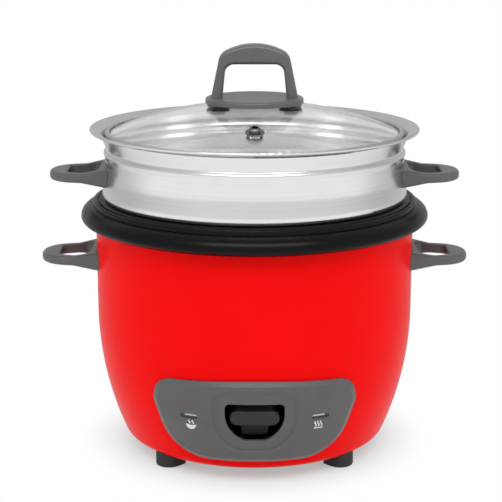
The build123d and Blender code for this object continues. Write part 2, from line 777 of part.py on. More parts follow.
# Paddle: a round-ended bar in the switch opening, with a skirt below it and a socket behind
with BuildPart() as cook_paddle:
    with BuildSketch(Plane.XZ.offset(-paddle_front_y)):
        with Locations((0, paddle_mid_z)):
            SlotOverall(2 * paddle_half_width, paddle_high_z - paddle_low_z)
    extrude(amount=-paddle_depth)
    fillet(cook_paddle.faces().sort_by(Axis.Y)[0].edges(), paddle_edge_radius)
    with BuildSketch(Plane.XZ.offset(-paddle_back_y)):
        with BuildLine():
            Polyline(
                (-skirt_half_width, paddle_mid_z),
                (skirt_half_width, paddle_mid_z),
                (skirt_low_half_width, skirt_low_z),
                (-skirt_low_half_width, skirt_low_z),
                close=True,
            )
        make_face()
    extrude(amount=skirt_thickness)
    with BuildSketch(Plane.XZ.offset(-paddle_back_y)):
        with Locations((0, paddle_mid_z)):
            Rectangle(lever_width + 2 * fit_gap, lever_thickness + 2 * fit_gap)
    extrude(amount=paddle_socket + fit_gap, mode=Mode.SUBTRACT)
keep(cook_paddle.part, "cook_paddle")

# Lever bracket: two ears that hang from the heating plate, and the pin between them
ear_inside = lever_width / 2 + bracket_side_gap
with BuildPart() as lever_bracket:
    with BuildSketch(Plane.YZ):
        with Locations((lever_pivot_y, plate_low_z)):
            Rectangle(bracket_length, plate_low_z - lever_pivot_z, align=(Align.CENTER, Align.MAX))
        with Locations((lever_pivot_y, lever_pivot_z)):
            Circle(bracket_ear_radius)
    extrude(amount=ear_inside + bracket_wall, both=True)
    with BuildSketch(Plane.XZ.offset(-lever_pivot_y)):
        with Locations((0, plate_low_z - bracket_wall)):
            ear_drop = lever_pivot_drop + 2 * bracket_ear_radius
            Rectangle(2 * ear_inside, ear_drop, align=(Align.CENTER, Align.MAX))
    extrude(amount=bracket_length + bracket_ear_radius, both=True, mode=Mode.SUBTRACT)
    with BuildSketch(Plane.YZ):
        with Locations((lever_pivot_y, lever_pivot_z)):
            Circle(lever_pin_radius + run_gap)
    extrude(amount=4 * ear_inside, both=True, mode=Mode.SUBTRACT)
keep(lever_bracket.part, "lever_bracket")

with BuildPart() as lever_pin:
    pin_half = ear_inside + bracket_wall + fit_gap
    with BuildSketch(Plane.YZ):
        with Locations((lever_pivot_y, lever_pivot_z)):
            Circle(lever_pin_radius)
    extrude(amount=pin_half, both=True)
    for side in (-1, 1):
        with BuildSketch(Plane.YZ.offset(side * pin_half)):
            with Locations((lever_pivot_y, lever_pivot_z)):
                Circle(1.5 * lever_pin_radius)
        extrude(amount=side * lever_pin_radius / 2)
keep(lever_pin.part, "lever_pin")

# Contact switch on its bosses, under the lever's front arm
with BuildPart() as contact_switch:
    with BuildSketch(Plane.XY.offset(contact_low_z)):
        with Locations((0, contact_y)):
            RectangleRounded(contact_size[0], contact_size[1], block_corner)
    extrude(amount=contact_size[2])
    with BuildSketch(Plane.XY.offset(contact_low_z + contact_size[2])):
        with Locations((0, contact_y)):
            Circle(contact_plunger_radius)
    extrude(amount=contact_plunger_radius)
keep(contact_switch.part, "contact_switch")

# Terminal block on the base plate
with BuildPart() as terminal_block:
    with BuildSketch(Plane.XY.offset(shell_floor_z)):
        with Locations((0, terminal_block_y)):
            RectangleRounded(terminal_size[0], terminal_size[1], block_corner)
    extrude(amount=terminal_size[2])
    with BuildSketch(Plane.XY.offset(shell_floor_z + terminal_size[2])):
        with Locations((0, terminal_block_y)):
            with GridLocations(terminal_screw_pitch, 1, 3, 1):
                Circle(terminal_screw_radius)
    extrude(amount=-terminal_size[2] / 2, mode=Mode.SUBTRACT)
keep(terminal_block.part, "terminal_block")

# Thermal fuse against the plate's underside, held by a strap clip
fuse_z = plate_low_z - fuse_radius - fit_gap
with BuildPart() as thermal_fuse:
    with BuildSketch(Plane.YZ):
        with Locations((fuse_y, fuse_z)):
            Circle(fuse_radius)
    extrude(amount=fuse_length / 2, both=True)
    chamfer(thermal_fuse.edges().filter_by(GeomType.CIRCLE), fuse_radius / 4)
keep(thermal_fuse.part, "thermal_fuse")

with BuildPart() as fuse_clip:
    clip_radius = fuse_radius + fit_gap + clip_wall
    with BuildSketch(Plane.YZ):
        with Locations((fuse_y, fuse_z)):
            Circle(clip_radius)
            Rectangle(2 * clip_radius, 2 * clip_radius, align=(Align.CENTER, Align.MIN))
        with Locations((fuse_y, plate_low_z)):
            Rectangle(2 * clip_radius + 2 * clip_foot, clip_wall, align=(Align.CENTER, Align.MAX))
        with Locations((fuse_y, fuse_z)):
            Circle(fuse_radius + fit_gap, mode=Mode.SUBTRACT)
            Rectangle(
                2 * (fuse_radius + fit_gap),
                2 * clip_radius,
                align=(Align.CENTER, Align.MIN),
                mode=Mode.SUBTRACT,
            )
        with Locations((fuse_y, plate_low_z)):
            Rectangle(4 * clip_radius, 4 * clip_radius, align=(Align.CENTER, Align.MIN), mode=Mode.SUBTRACT)
    extrude(amount=clip_width / 2, both=True)
keep(fuse_clip.part, "fuse_clip")

# Control panel: a shield that wraps the shell, with a dished switch opening and two windows
with BuildPart() as dish_cutter:
    extrude(switch_outline(dish_border), amount=2 * shell_radius)
    revolve(shell_form(panel_thickness - dish_depth), axis=Axis.Z, mode=Mode.SUBTRACT)

with BuildPart() as control_panel:
    revolve(shell_form(panel_thickness), axis=Axis.Z)
    revolve(shell_form(fit_gap), axis=Axis.Z, mode=Mode.SUBTRACT)
    with BuildSketch(Plane.XZ):
        with BuildLine():
            right = (
                (0, panel_top_z),
                (panel_top_half_width, panel_top_z - panel_top_fall),
                (panel_half_width, panel_shoulder_z),
                (panel_low_half_width, panel_low_z),
            )
            left = tuple((-x, z) for x, z in reversed(right[1:]))
            corners = (panel_top_corner, panel_shoulder_corner, panel_low_corner)
            FilletPolyline(*right, *left, radius=(panel_crown, *corners, *reversed(corners)), close=True)
        make_face()
    extrude(amount=2 * shell_radius, mode=Mode.INTERSECT)
    front = control_panel.faces().filter_by(GeomType.REVOLUTION).sort_by(Axis.Y)[0]
    chamfer(front.edges(), panel_bevel_width, panel_bevel, reference=front)
    add(dish_cutter.part, mode=Mode.SUBTRACT)
    front = control_panel.faces().filter_by(GeomType.REVOLUTION).sort_by(Axis.Y)[0]
    dish_rim = front.inner_wires()[0].edges()
    chamfer(dish_rim, dish_slope_width, dish_slope_depth, reference=front)
    extrude(switch_outline(0), amount=2 * shell_radius, mode=Mode.SUBTRACT)
    for side in (-1, 1):
        with BuildSketch(wall_plane(side * lamp_x, lamp_z)):
            SlotOverall(lamp_width, lamp_height)
        extrude(amount=2 * panel_thickness, both=True, mode=Mode.SUBTRACT)
        with BuildSketch(wall_plane(side * stud_x, stud_z).offset(panel_thickness / 2)):
            Circle(stud_radius)
        extrude(amount=-stud_length - panel_thickness / 2)
keep(control_panel.part, "control_panel")


def indicator_lens(side):
    """Clear bar that fills a window of the panel, with a foot inside the shell."""
    face = wall_plane(side * lamp_x, lamp_z)
    with BuildPart() as lens:
        with BuildSketch(face.offset(-lens_depth)):
            SlotOverall(lamp_width - 2 * fit_gap, lamp_height - 2 * fit_gap)
        extrude(amount=lens_depth + 2 * panel_thickness)
        revolve(shell_form(panel_thickness - lens_inset), axis=Axis.Z, mode=Mode.INTERSECT)
    return lens.part


# Indicator lenses, each with a small lamp tube behind it
for side, word in ((-1, "cook"), (1, "warm")):
    keep(indicator_lens(side), f"{word}_lens")
    lamp_face = wall_plane(side * lamp_x, lamp_z).offset(-lens_depth - fit_gap)
    with BuildPart() as lamp:
        with BuildSketch(lamp_face):
            Circle(lamp_tube_radius)
        extrude(amount=-lamp_tube_length)
        fillet(lamp.edges().filter_by(GeomType.CIRCLE), lamp_tube_radius / 2)
    keep(lamp.part, f"{word}_lamp")

# Push nuts that hold the panel's studs inside the shell
with BuildPart() as push_nuts:
    for side in (-1, 1):
        with BuildSketch(wall_plane(side * stud_x, stud_z).offset(-nut_inset)):
            Circle(nut_radius)
            Circle(stud_radius + run_gap, mode=Mode.SUBTRACT)
        extrude(amount=-nut_thickness)
keep(push_nuts.part, "push_nuts")

# Cord gland: a bush in the back of the shell, its flange shaped to the wall
with BuildPart() as cord_gland:
    gland_wall_y = shell_outside_radius(gland_z)
    with BuildSketch(Plane.XZ.offset(-gland_wall_y)):
        with Locations((0, gland_z)):
            Circle(gland_flange_radius)
    extrude(amount=-gland_flange_height)
    with BuildSketch(Plane.XZ.offset(-gland_wall_y)):
        with Locations((0, gland_z)):
            Circle(gland_flange_radius)
    extrude(amount=gland_flange_radius)
    revolve(shell_form(fit_gap), axis=Axis.Z, mode=Mode.SUBTRACT)
    outer_rim = cord_gland.edges().filter_by(GeomType.CIRCLE).sort_by(Axis.Y)[-1]
    fillet(outer_rim, gland_flange_round)
    with BuildSketch(Plane.XZ.offset(-gland_wall_y)):
        with Locations((0, gland_z)):
            Circle(gland_neck_radius)
    extrude(amount=gland_inside)
    with BuildSketch(Plane.XZ.offset(-gland_wall_y)):
        with Locations((0, gland_z)):
            Circle(gland_bore_radius)
    extrude(amount=4 * gland_inside, both=True, mode=Mode.SUBTRACT)
keep(cord_gland.part, "cord_gland")


def side_handle(root_x, middle_z):
    """Handle moulding on +X: a tapered tongue, thicker at its root, with soft edges."""
    tip_x = root_x + handle_length
    inside_x = root_x - 2 * handle_half_thickness
    flare_x = root_x + handle_flare_length
    tip_top_z = middle_z + handle_half_thickness
    tip_low_z = middle_z - handle_half_thickness
    root_top_z = middle_z + handle_root_half_height + handle_rise
    root_low_z = middle_z - handle_root_half_height
    with BuildPart() as handle:
        with BuildSketch(Plane.XZ):
            with BuildLine():
                Polyline(
                    (tip_x, tip_low_z),
                    (tip_x, tip_top_z),
                    (flare_x, tip_top_z),
                    (root_x, root_top_z),
                    (inside_x, root_top_z),
                    (inside_x, root_low_z),
                    (root_x, root_low_z),
                    (flare_x, tip_low_z),
                    close=True,
                )
            make_face()
        extrude(amount=handle_root_half_width, both=True)
        with BuildSketch(Plane.XY.offset(middle_z)):
            with BuildLine():
                FilletPolyline(
                    (inside_x, -handle_root_half_width),
                    (tip_x, -handle_tip_half_width),
                    (tip_x, handle_tip_half_width),
                    (inside_x, handle_root_half_width),
                    radius=(0, handle_tip_corner, handle_tip_corner, 0),
                    close=True,
                )
            make_face()
        extrude(amount=4 * handle_root_half_height, both=True, mode=Mode.INTERSECT)
    return handle.part


def finger_window(root_x, middle_z):
    """Cutter for a handle's finger window, wider at the wall than at the tip."""
    start_x = root_x + window_start
    end_x = root_x + handle_length - window_end
    with BuildPart() as window:
        with BuildSketch(Plane.XY.offset(middle_z)):
            with BuildLine():
                FilletPolyline(
                    (start_x, -window_root_half_width),
                    (end_x, -window_tip_half_width),
                    (end_x, window_tip_half_width),
                    (start_x, window_root_half_width),
                    radius=window_corner,
                    close=True,
                )
            make_face()
        extrude(amount=4 * handle_root_half_height, both=True)
    return window.part


def screw_holes(middle_z, end_x):
    """Cutter for the two handle screws on +X, from the axis plane out to end_x."""
    with BuildPart() as holes:
        with BuildSketch(Plane.YZ):
            with Locations((-handle_screw_y, middle_z), (handle_screw_y, middle_z)):
                Circle(handle_screw_radius + run_gap)
        extrude(amount=end_x)
    return holes.part


def tray_form(grow):
    """Half section of the space inside the tray's outer face, grown outwards."""
    with BuildSketch(Plane.XZ) as section:
        with BuildLine():
            outer = FilletPolyline(*tray_line, radius=tray_radii)
            Polyline(outer @ 1, (0, tray_lip_z), outer @ 0)
        make_face()
        offset(amount=grow)
    return section.sketch


def soft_handle(root_x, middle_z):
    """Handle moulding on +X with soft edges and its finger window."""
    with BuildPart() as handle:
        add(side_handle(root_x, middle_z))
        outside = handle.edges().filter_by(lambda edge: edge.center().X > root_x)
        fillet(outside.filter_by(Axis.Z, reverse=True), handle_edge_radius)
        add(finger_window(root_x, middle_z), mode=Mode.SUBTRACT)
        inner = handle.edges().filter_by(lambda edge: abs(edge.center().Y) < window_root_half_width + fit_gap)
        past_root = inner.filter_by(lambda edge: edge.center().X > root_x + window_start - fit_gap)
        window_end_x = root_x + handle_length - window_end
        before_tip = past_root.filter_by(lambda edge: edge.center().X < window_end_x + fit_gap)
        chamfer(before_tip.filter_by(Axis.Z, reverse=True), window_edge_bevel)
    return handle.part


def fitted_handle(moulding, inside_x, middle_z, wall_section):
    """Shape a handle's root to the wall that it stands on and drill it for its screws."""
    with BuildPart() as handle:
        add(moulding)
        revolve(wall_section, axis=Axis.Z, mode=Mode.SUBTRACT)
        add(screw_holes(middle_z, inside_x + handle_screw_depth + seat_gap), mode=Mode.SUBTRACT)
    return handle.part


def handle_screws(inside_x, middle_z):
    """Two screws on +X from inside a wall into the handle, heads against the wall."""
    with BuildPart() as screws:
        with BuildSketch(Plane.YZ.offset(inside_x)):
            with Locations((-handle_screw_y, middle_z), (handle_screw_y, middle_z)):
                Circle(handle_screw_radius)
        extrude(amount=handle_screw_depth)
        with BuildSketch(Plane.YZ.offset(inside_x)):
            with Locations((-handle_screw_y, middle_z), (handle_screw_y, middle_z)):
                Circle(handle_screw_head_radius)
        extrude(amount=-handle_screw_head_height)
        fillet(screws.edges().group_by(Axis.X)[0], handle_screw_head_height / 2)
    return screws.part


def chord_x(radius, y):
    """Distance from the axis plane to a round wall, off to one side."""
    return math.sqrt(radius**2 - y**2)


def on_dome(sphere_radius, out):
    """Point of the glass dome's section at a distance out from the axis."""
    return out, glass_centre_z + chord_x(sphere_radius, out)


# Body handles and their screws
screw_head_y = handle_screw_y + handle_screw_head_radius
shell_inside_x = chord_x(shell_radius - shell_wall - fit_gap, screw_head_y)
handle_moulding = soft_handle(shell_radius, body_handle_z)
body_handle = fitted_handle(handle_moulding, shell_inside_x, body_handle_z, shell_form(fit_gap))
keep(body_handle, "body_handle_right")
keep(mirror(body_handle, about=Plane.YZ), "body_handle_left")
with BuildPart() as body_handle_screws:
    add(handle_screws(shell_inside_x, body_handle_z))
    mirror(about=Plane.YZ)
keep(body_handle_screws.part, "body_handle_screws")

# Steamer tray: flat lip, tapered band, waist, bead, straight wall, heel and a nesting perforated floor
tray_line = (
    (tray_lip_radius, tray_lip_z),
    (tray_neck_radius, tray_neck_z),
    (tray_waist_radius, tray_waist_z),
    (tray_bead_radius, tray_bead_z),
    (tray_wall_radius, tray_groove_z),
    (tray_wall_radius, tray_wall_z),
    (tray_heel_radius, tray_heel_z),
    (tray_heel_radius, tray_floor_z),
    (nest_radius, tray_floor_z),
    (nest_radius, tray_floor_z - tray_nest_depth),
    (0, tray_floor_z - tray_nest_depth),
)
with BuildPart() as steamer_tray:
    with BuildSketch(Plane.XZ):
        add(sheet_section(tray_line, tray_radii, tray_wall))
        with Locations((tray_lip_radius, tray_lip_z)):
            Circle(tray_lip_bead)
    revolve(axis=Axis.Z)
    with BuildSketch(Plane.XY.offset(tray_floor_z - tray_nest_depth)):
        Circle(tray_hole_radius)
        for ring in range(1, tray_hole_rings + 1):
            with PolarLocations(ring * tray_hole_pitch, ring * tray_hole_step):
                Circle(tray_hole_radius)
    extrude(amount=tray_wall, mode=Mode.SUBTRACT)
    with BuildSketch(Plane.YZ):
        with Locations((-handle_screw_y, steamer_handle_z), (handle_screw_y, steamer_handle_z)):
            Circle(handle_screw_radius + handle_screw_gap)
    extrude(amount=2 * shell_radius, both=True, mode=Mode.SUBTRACT)
keep(steamer_tray.part, "steamer_tray")

# Steamer handles and their screws
steamer_move = Pos(tray_wall_radius - shell_radius, 0, steamer_handle_z - body_handle_z)
tray_inside_x = chord_x(tray_wall_radius - tray_wall - fit_gap, screw_head_y)
moved_moulding = steamer_move * handle_moulding
steamer_handle = fitted_handle(moved_moulding, tray_inside_x, steamer_handle_z, tray_form(fit_gap))
keep(steamer_handle, "steamer_handle_right")
keep(mirror(steamer_handle, about=Plane.YZ), "steamer_handle_left")
with BuildPart() as steamer_handle_screws:
    add(handle_screws(tray_inside_x, steamer_handle_z))
    mirror(about=Plane.YZ)
keep(steamer_handle_screws.part, "steamer_handle_screws")

# Lid glass: a shallow dome with a flat skirt, holes for the handle and the vent
skirt_low_edge_z = skirt_top_z - glass_thickness
rim_low_z = skirt_low_edge_z - lid_rim_glass_gap - lid_rim_wall
tray_slope = (tray_neck_radius - tray_waist_radius) / (tray_neck_z - tray_waist_z)
tray_lean = math.sqrt(1 + tray_slope**2)
rim_seat_radius = tray_waist_radius + tray_slope * (rim_low_z - tray_waist_z) - tray_wall * tray_lean
lid_rim_radius = rim_seat_radius - seat_gap * tray_lean
glass_radius = lid_rim_radius - lid_rim_wall - lid_rim_glass_gap
glass_inner_radius = glass_sphere_radius - glass_thickness
inner_skirt_start = math.sqrt(glass_inner_radius**2 - (skirt_low_edge_z - glass_centre_z) ** 2)
vent_tilt = math.degrees(math.asin(-vent_y / glass_sphere_radius))
vent_out = Vector(0, -math.sin(math.radians(vent_tilt)), math.cos(math.radians(vent_tilt)))
vent_place = Vector(0, 0, glass_centre_z) + vent_out * glass_sphere_radius
vent_plane = Plane(vent_place, x_dir=(1, 0, 0), z_dir=vent_out)
with BuildPart() as lid_glass:
    with BuildSketch(Plane.XZ):
        with BuildLine():
            ThreePointArc(
                (0, glass_apex_z),
                on_dome(glass_sphere_radius, glass_skirt_start / 2),
                (glass_skirt_start, skirt_top_z),
            )
            Polyline(
                (glass_skirt_start, skirt_top_z),
                (glass_radius, skirt_top_z),
                (glass_radius, skirt_low_edge_z),
                (inner_skirt_start, skirt_low_edge_z),
            )
            ThreePointArc(
                (inner_skirt_start, skirt_low_edge_z),
                on_dome(glass_inner_radius, inner_skirt_start / 2),
                (0, glass_apex_z - glass_thickness),
            )
            Line((0, glass_apex_z - glass_thickness), (0, glass_apex_z))
        make_face()
    revolve(axis=Axis.Z)
    rim_edges = lid_glass.edges().filter_by(lambda edge: edge.length > 2 * math.pi * (glass_radius - fit_gap))
    fillet(rim_edges, glass_edge_round)
    with BuildSketch(Plane.XY.offset(glass_apex_z)):
        with Locations((-knob_screw_x, 0), (knob_screw_x, 0)):
            Circle(knob_screw_radius + knob_screw_gap)
    extrude(amount=-4 * glass_thickness, mode=Mode.SUBTRACT)
    with BuildSketch(vent_plane):
        Circle(vent_collar_radius + vent_hole_gap)
    extrude(amount=2 * glass_thickness, both=True, mode=Mode.SUBTRACT)
keep(lid_glass.part, "lid_glass")

# Steel rim, folded round the glass's edge
with BuildPart() as lid_rim:
    rim_high_z = skirt_top_z + lid_rim_glass_gap + lid_rim_wall
    rim_line = (
        (lid_rim_radius - lid_rim_lip, rim_high_z),
        (lid_rim_radius, rim_high_z),
        (lid_rim_radius, rim_low_z),
        (lid_rim_radius - lid_rim_lip, rim_low_z),
    )
    revolve(sheet_section(rim_line, 2 * (lid_rim_bend,), lid_rim_wall), axis=Axis.Z)
keep(lid_rim.part, "lid_rim")

# Lid handle: an arched loop on a round base, moulded in one piece
with BuildPart() as lid_handle:
    with BuildSketch(Plane.XZ) as loop_section:
        with BuildLine():
            leg_top_z = knob_top_z - knob_arch_rise
            leg_low_z = knob_base_low_z + knob_base_height / 2
            arch = ThreePointArc((-knob_top_half_width, leg_top_z), (0, knob_top_z), (knob_top_half_width, leg_top_z))
            Polyline(arch @ 1, (knob_leg_half_width, leg_low_z), (-knob_leg_half_width, leg_low_z), arch @ 0)
        make_face()
        fillet(loop_section.vertices().group_by(Axis.Y)[-1], knob_shoulder_radius)
        with BuildLine():
            FilletPolyline(
                (-knob_window_base_half_width, knob_base_low_z),
                (-knob_window_top_half_width, knob_window_top_z),
                (knob_window_top_half_width, knob_window_top_z),
                (knob_window_base_half_width, knob_base_low_z),
                radius=(0, knob_window_radius, knob_window_radius, 0),
                close=True,
            )
        make_face(mode=Mode.SUBTRACT)
    extrude(amount=knob_depth / 2, both=True)
    loop_edges = lid_handle.edges().filter_by(lambda edge: abs(edge.center().Y) > knob_depth / 2 - fit_gap)
    fillet(loop_edges.filter_by(lambda edge: edge.center().Z > knob_base_top_z), knob_edge_radius)
    with BuildSketch(Plane.XY.offset(knob_base_low_z)):
        Ellipse(knob_base_length / 2, knob_base_width / 2)
    extrude(amount=knob_base_height)
    with BuildSketch(Plane.XY.offset(knob_base_low_z)):
        with Locations((-knob_screw_x, 0), (knob_screw_x, 0)):
            Circle(knob_screw_radius + run_gap)
    extrude(amount=knob_screw_depth + fit_gap, mode=Mode.SUBTRACT)
    at_base_top = lid_handle.edges().filter_by(lambda edge: abs(edge.center().Z - knob_base_top_z) < fit_gap)
    fillet(at_base_top.sort_by(SortBy.LENGTH)[-1], knob_base_round)
keep(lid_handle.part, "lid_handle")

# Gaskets between the handle and the glass, washers under it, and the two screws
with BuildPart() as lid_gaskets:
    with BuildSketch(Plane.XY.offset(knob_base_low_z)):
        with Locations((-knob_screw_x, 0), (knob_screw_x, 0)):
            Circle(gasket_radius)
            Circle(knob_screw_radius + knob_screw_gap, mode=Mode.SUBTRACT)
    extrude(amount=-2 * glass_thickness)
    with Locations((0, 0, glass_centre_z)):
        Sphere(glass_sphere_radius + fit_gap, mode=Mode.SUBTRACT)
keep(lid_gaskets.part, "lid_gaskets")

washer_edge_z = glass_centre_z + chord_x(glass_inner_radius, knob_screw_x + washer_radius)
washer_low_z = washer_edge_z - washer_thickness
with BuildPart() as lid_washers:
    with BuildSketch(Plane.XY.offset(washer_low_z)):
        with Locations((-knob_screw_x, 0), (knob_screw_x, 0)):
            Circle(washer_radius)
            Circle(knob_screw_radius + knob_screw_gap, mode=Mode.SUBTRACT)
    extrude(amount=2 * glass_thickness)
    with Locations((0, 0, glass_centre_z)):
        Sphere(glass_inner_radius - fit_gap, mode=Mode.INTERSECT)
keep(lid_washers.part, "lid_washers")

with BuildPart() as lid_screws:
    with BuildSketch(Plane.XY.offset(washer_low_z)):
        with Locations((-knob_screw_x, 0), (knob_screw_x, 0)):
            Circle(knob_screw_head_radius)
    extrude(amount=-knob_screw_head_height)
    fillet(lid_screws.edges().group_by(Axis.Z)[0], knob_screw_head_height / 2)
    with BuildSketch(Plane.XY.offset(washer_low_z)):
        with Locations((-knob_screw_x, 0), (knob_screw_x, 0)):
            Circle(knob_screw_radius)
    extrude(amount=knob_base_low_z + knob_screw_depth - washer_low_z)
keep(lid_screws.part, "lid_screws")

# Steam vent: a flanged eyelet with a raised collar, closed over under the glass
with BuildPart() as lid_vent:
    with BuildSketch(vent_plane.offset(fit_gap)):
        Circle(vent_flange_radius)
    extrude(amount=vent_flange_height)
    fillet(lid_vent.edges().filter_by(GeomType.CIRCLE), vent_flange_height / 3)
    with BuildSketch(vent_plane.offset(-glass_thickness - fit_gap - vent_flange_height)):
        Circle(vent_collar_radius)
    extrude(amount=glass_thickness + 2 * fit_gap + vent_flange_height + vent_collar_height)
    fillet(lid_vent.edges().filter_by(GeomType.CIRCLE).sort_by(Axis.Z)[-1], vent_collar_radius / 2.5)
    with BuildSketch(vent_plane.offset(-glass_thickness - 2 * fit_gap)):
        Circle(vent_lower_radius)
    extrude(amount=-vent_flange_height)
    with BuildSketch(vent_plane):
        Circle(vent_bore_radius)
    extrude(amount=4 * glass_thickness, both=True, mode=Mode.SUBTRACT)
keep(lid_vent.part, "lid_vent")
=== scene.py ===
# %% [markdown]
# # A rice cooker with a steamer tray and a glass lid
# The real cooker is a red enamelled shell with a pot inside, a steamer tray on the pot and a glass lid on
# the tray. Its solids come packed from CAD, in place and split into the bodies that move. They could be
# modelled once more here, but then two models would drift apart. So this lesson dresses the solids: each
# real material gets a node tree, a few small pieces that CAD leaves out are added, and a camera and soft
# lamps show the whole as in a studio.

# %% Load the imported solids
import math

import bmesh
import bpy
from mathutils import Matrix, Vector
from mathutils.bvhtree import BVHTree


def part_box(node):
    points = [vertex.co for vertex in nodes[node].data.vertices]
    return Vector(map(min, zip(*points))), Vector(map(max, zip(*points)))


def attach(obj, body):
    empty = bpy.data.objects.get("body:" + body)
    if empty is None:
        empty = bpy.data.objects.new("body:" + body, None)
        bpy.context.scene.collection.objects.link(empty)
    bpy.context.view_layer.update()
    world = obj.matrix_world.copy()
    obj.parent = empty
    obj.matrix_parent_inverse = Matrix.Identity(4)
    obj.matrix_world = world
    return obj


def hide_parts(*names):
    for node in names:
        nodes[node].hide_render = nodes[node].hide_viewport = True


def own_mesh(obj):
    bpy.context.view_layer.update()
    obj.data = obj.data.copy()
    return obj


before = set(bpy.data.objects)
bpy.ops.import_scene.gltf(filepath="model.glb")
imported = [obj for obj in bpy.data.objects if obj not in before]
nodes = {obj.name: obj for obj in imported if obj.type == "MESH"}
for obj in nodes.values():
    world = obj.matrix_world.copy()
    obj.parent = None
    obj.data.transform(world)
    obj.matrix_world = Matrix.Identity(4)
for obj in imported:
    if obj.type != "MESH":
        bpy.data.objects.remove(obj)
scene = bpy.context.scene
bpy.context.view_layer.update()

# %% [markdown]
# ## Small helpers
# Colours are written as sRGB hex, because that is how a picture shows them, and one function turns them
# to the linear values that shaders use. Node trees could be drawn by hand in Blender's editor, but a
# script can be read, compared and run again. So one function adds a node: its settings are the node's own
# properties, and each input is either a plain value or another node's output, which is linked.

# %% Helpers for colours and nodes
def linear(hex_colour, gain=1.0):
    """sRGB hex such as 'C01010' as a linear RGBA colour, made lighter or darker by gain."""
    parts = [int(hex_colour[i : i + 2], 16) / 255 for i in (0, 2, 4)]
    steps = [c / 12.92 if c <= 0.04045 else ((c + 0.055) / 1.055) ** 2.4 for c in parts]
    return (*[min(1.0, c * gain) for c in steps], 1.0)


def set_inputs(node, inputs):
    """Set a node's inputs to plain values, or link them to other nodes' outputs."""
    for name, value in inputs.items():
        if isinstance(value, bpy.types.NodeSocket):
            node.id_data.links.new(value, node.inputs[name])
        else:
            node.inputs[name].default_value = value


def add_node(tree, kind, inputs=None, **settings):
    """Add a node with its settings and inputs, and give it back."""
    node = tree.nodes.new(kind)
    for name, value in settings.items():
        setattr(node, name, value)
    set_inputs(node, inputs or {})
    return node


print("mid grey 808080 in linear light:", round(linear("808080")[0], 3))

# %% [markdown]
# ## How a material starts
# All materials here begin in the same way: one Principled shader, and Object coordinates for the
# patterns. Every solid has its object at the origin, so these coordinates are real places in metres, and
# a pattern's scale can be worked out from a size in millimetres. A UV map could carry the patterns too,
# but solids from CAD have none, and a map would need seams.

# %% Helpers for materials
def start_material(name, surface):
    """A new material with its shader's plain values set, and the coordinates that its patterns read."""
    material = bpy.data.materials.new(name)
    material.use_nodes = True
    tree = material.node_tree
    shader = tree.nodes["Principled BSDF"]
    set_inputs(shader, surface)
    place = add_node(tree, "ShaderNodeTexCoord")
    return material, tree, shader, place.outputs["Object"]


def per_mm(size):
    """Texture scale that makes features of about this many millimetres."""
    return 1000.0 / size


def dress(material, *names):
    """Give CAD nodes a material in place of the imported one."""
    for name in names:
        mesh = nodes[name].data
        mesh.materials.clear()
        mesh.materials.append(material)
    print(material.name, "on", ", ".join(names))


print("texture scale for 1 mm:", per_mm(1))

# %% [markdown]
# ## Red enamel
# The shell is pressed steel with a baked enamel. It gives the eye a deep, even red, edges that the white
# room turns pinkish, and the faint ripple called orange peel. The ripple could be modelled, but it is far
# finer than the shell's faces, so a bump from noise shows it. Round the hole behind the switch the red gives
# way to painted shade, a near black that stands for the dark recess there: an egg-shaped region, measured
# from the hole's middle, marks it.

# %% Enamel on the shell
def baked_enamel(hole_middle, shade_reach):
    """Red enamel, with painted shade in its place within a reach along each axis round the hole's middle."""
    surface = {"Roughness": 0.30, "Specular IOR Level": 0.05}
    material, tree, shader, place = start_material("baked_red_enamel", surface)
    cloud = add_node(tree, "ShaderNodeTexNoise", {"Vector": place, "Scale": per_mm(60), "Detail": 2.0})
    red = add_node(tree, "ShaderNodeMix", {"Factor": cloud.outputs["Fac"]}, data_type="RGBA")
    set_inputs(red, {"A": linear("EE0404"), "B": linear("FA0808")})
    off = add_node(tree, "ShaderNodeVectorMath", {0: place, 1: hole_middle}, operation="SUBTRACT")
    share = add_node(tree, "ShaderNodeVectorMath", {0: off.outputs[0], 1: shade_reach}, operation="DIVIDE")
    far = add_node(tree, "ShaderNodeVectorMath", {0: share.outputs[0]}, operation="LENGTH")
    # Painted shade: within the reach round the hole the red gives way to near black 141414, the dark of the
    # recess behind the switch.
    bare = add_node(tree, "ShaderNodeMath", {0: far.outputs["Value"], 1: 1.0}, operation="LESS_THAN")
    red_or_painted_shade = add_node(tree, "ShaderNodeMix", {"Factor": bare.outputs[0]}, data_type="RGBA")
    set_inputs(red_or_painted_shade, {"A": red.outputs["Result"], "B": linear("141414")})
    peel = add_node(tree, "ShaderNodeTexNoise", {"Vector": place, "Scale": per_mm(1.6), "Detail": 1.0})
    ripple = add_node(tree, "ShaderNodeBump", {"Height": peel.outputs["Fac"], "Distance": 0.0002})
    set_inputs(ripple, {"Strength": 0.05})
    set_inputs(shader, {"Base Color": red_or_painted_shade.outputs["Result"], "Normal": ripple.outputs["Normal"]})
    return material


enamel = baked_enamel(hole_middle=(0.0, -0.088, 0.041), shade_reach=(0.032, 0.060, 0.025))
dress(enamel, "outer_shell")

# %% [markdown]
# ## Moulded plastics
# The ring, the panel, the handles and the switch are moulded. A mould is spark eroded, which leaves tiny
# round pits, and the melt leaves slow changes of gloss: the eye sees a soft, slightly broken highlight.
# Pits could be modelled one by one, but a Voronoi pattern gives them at any size and with no seam. One
# function takes the colour, the grain and the gloss, since only these differ between the pieces.

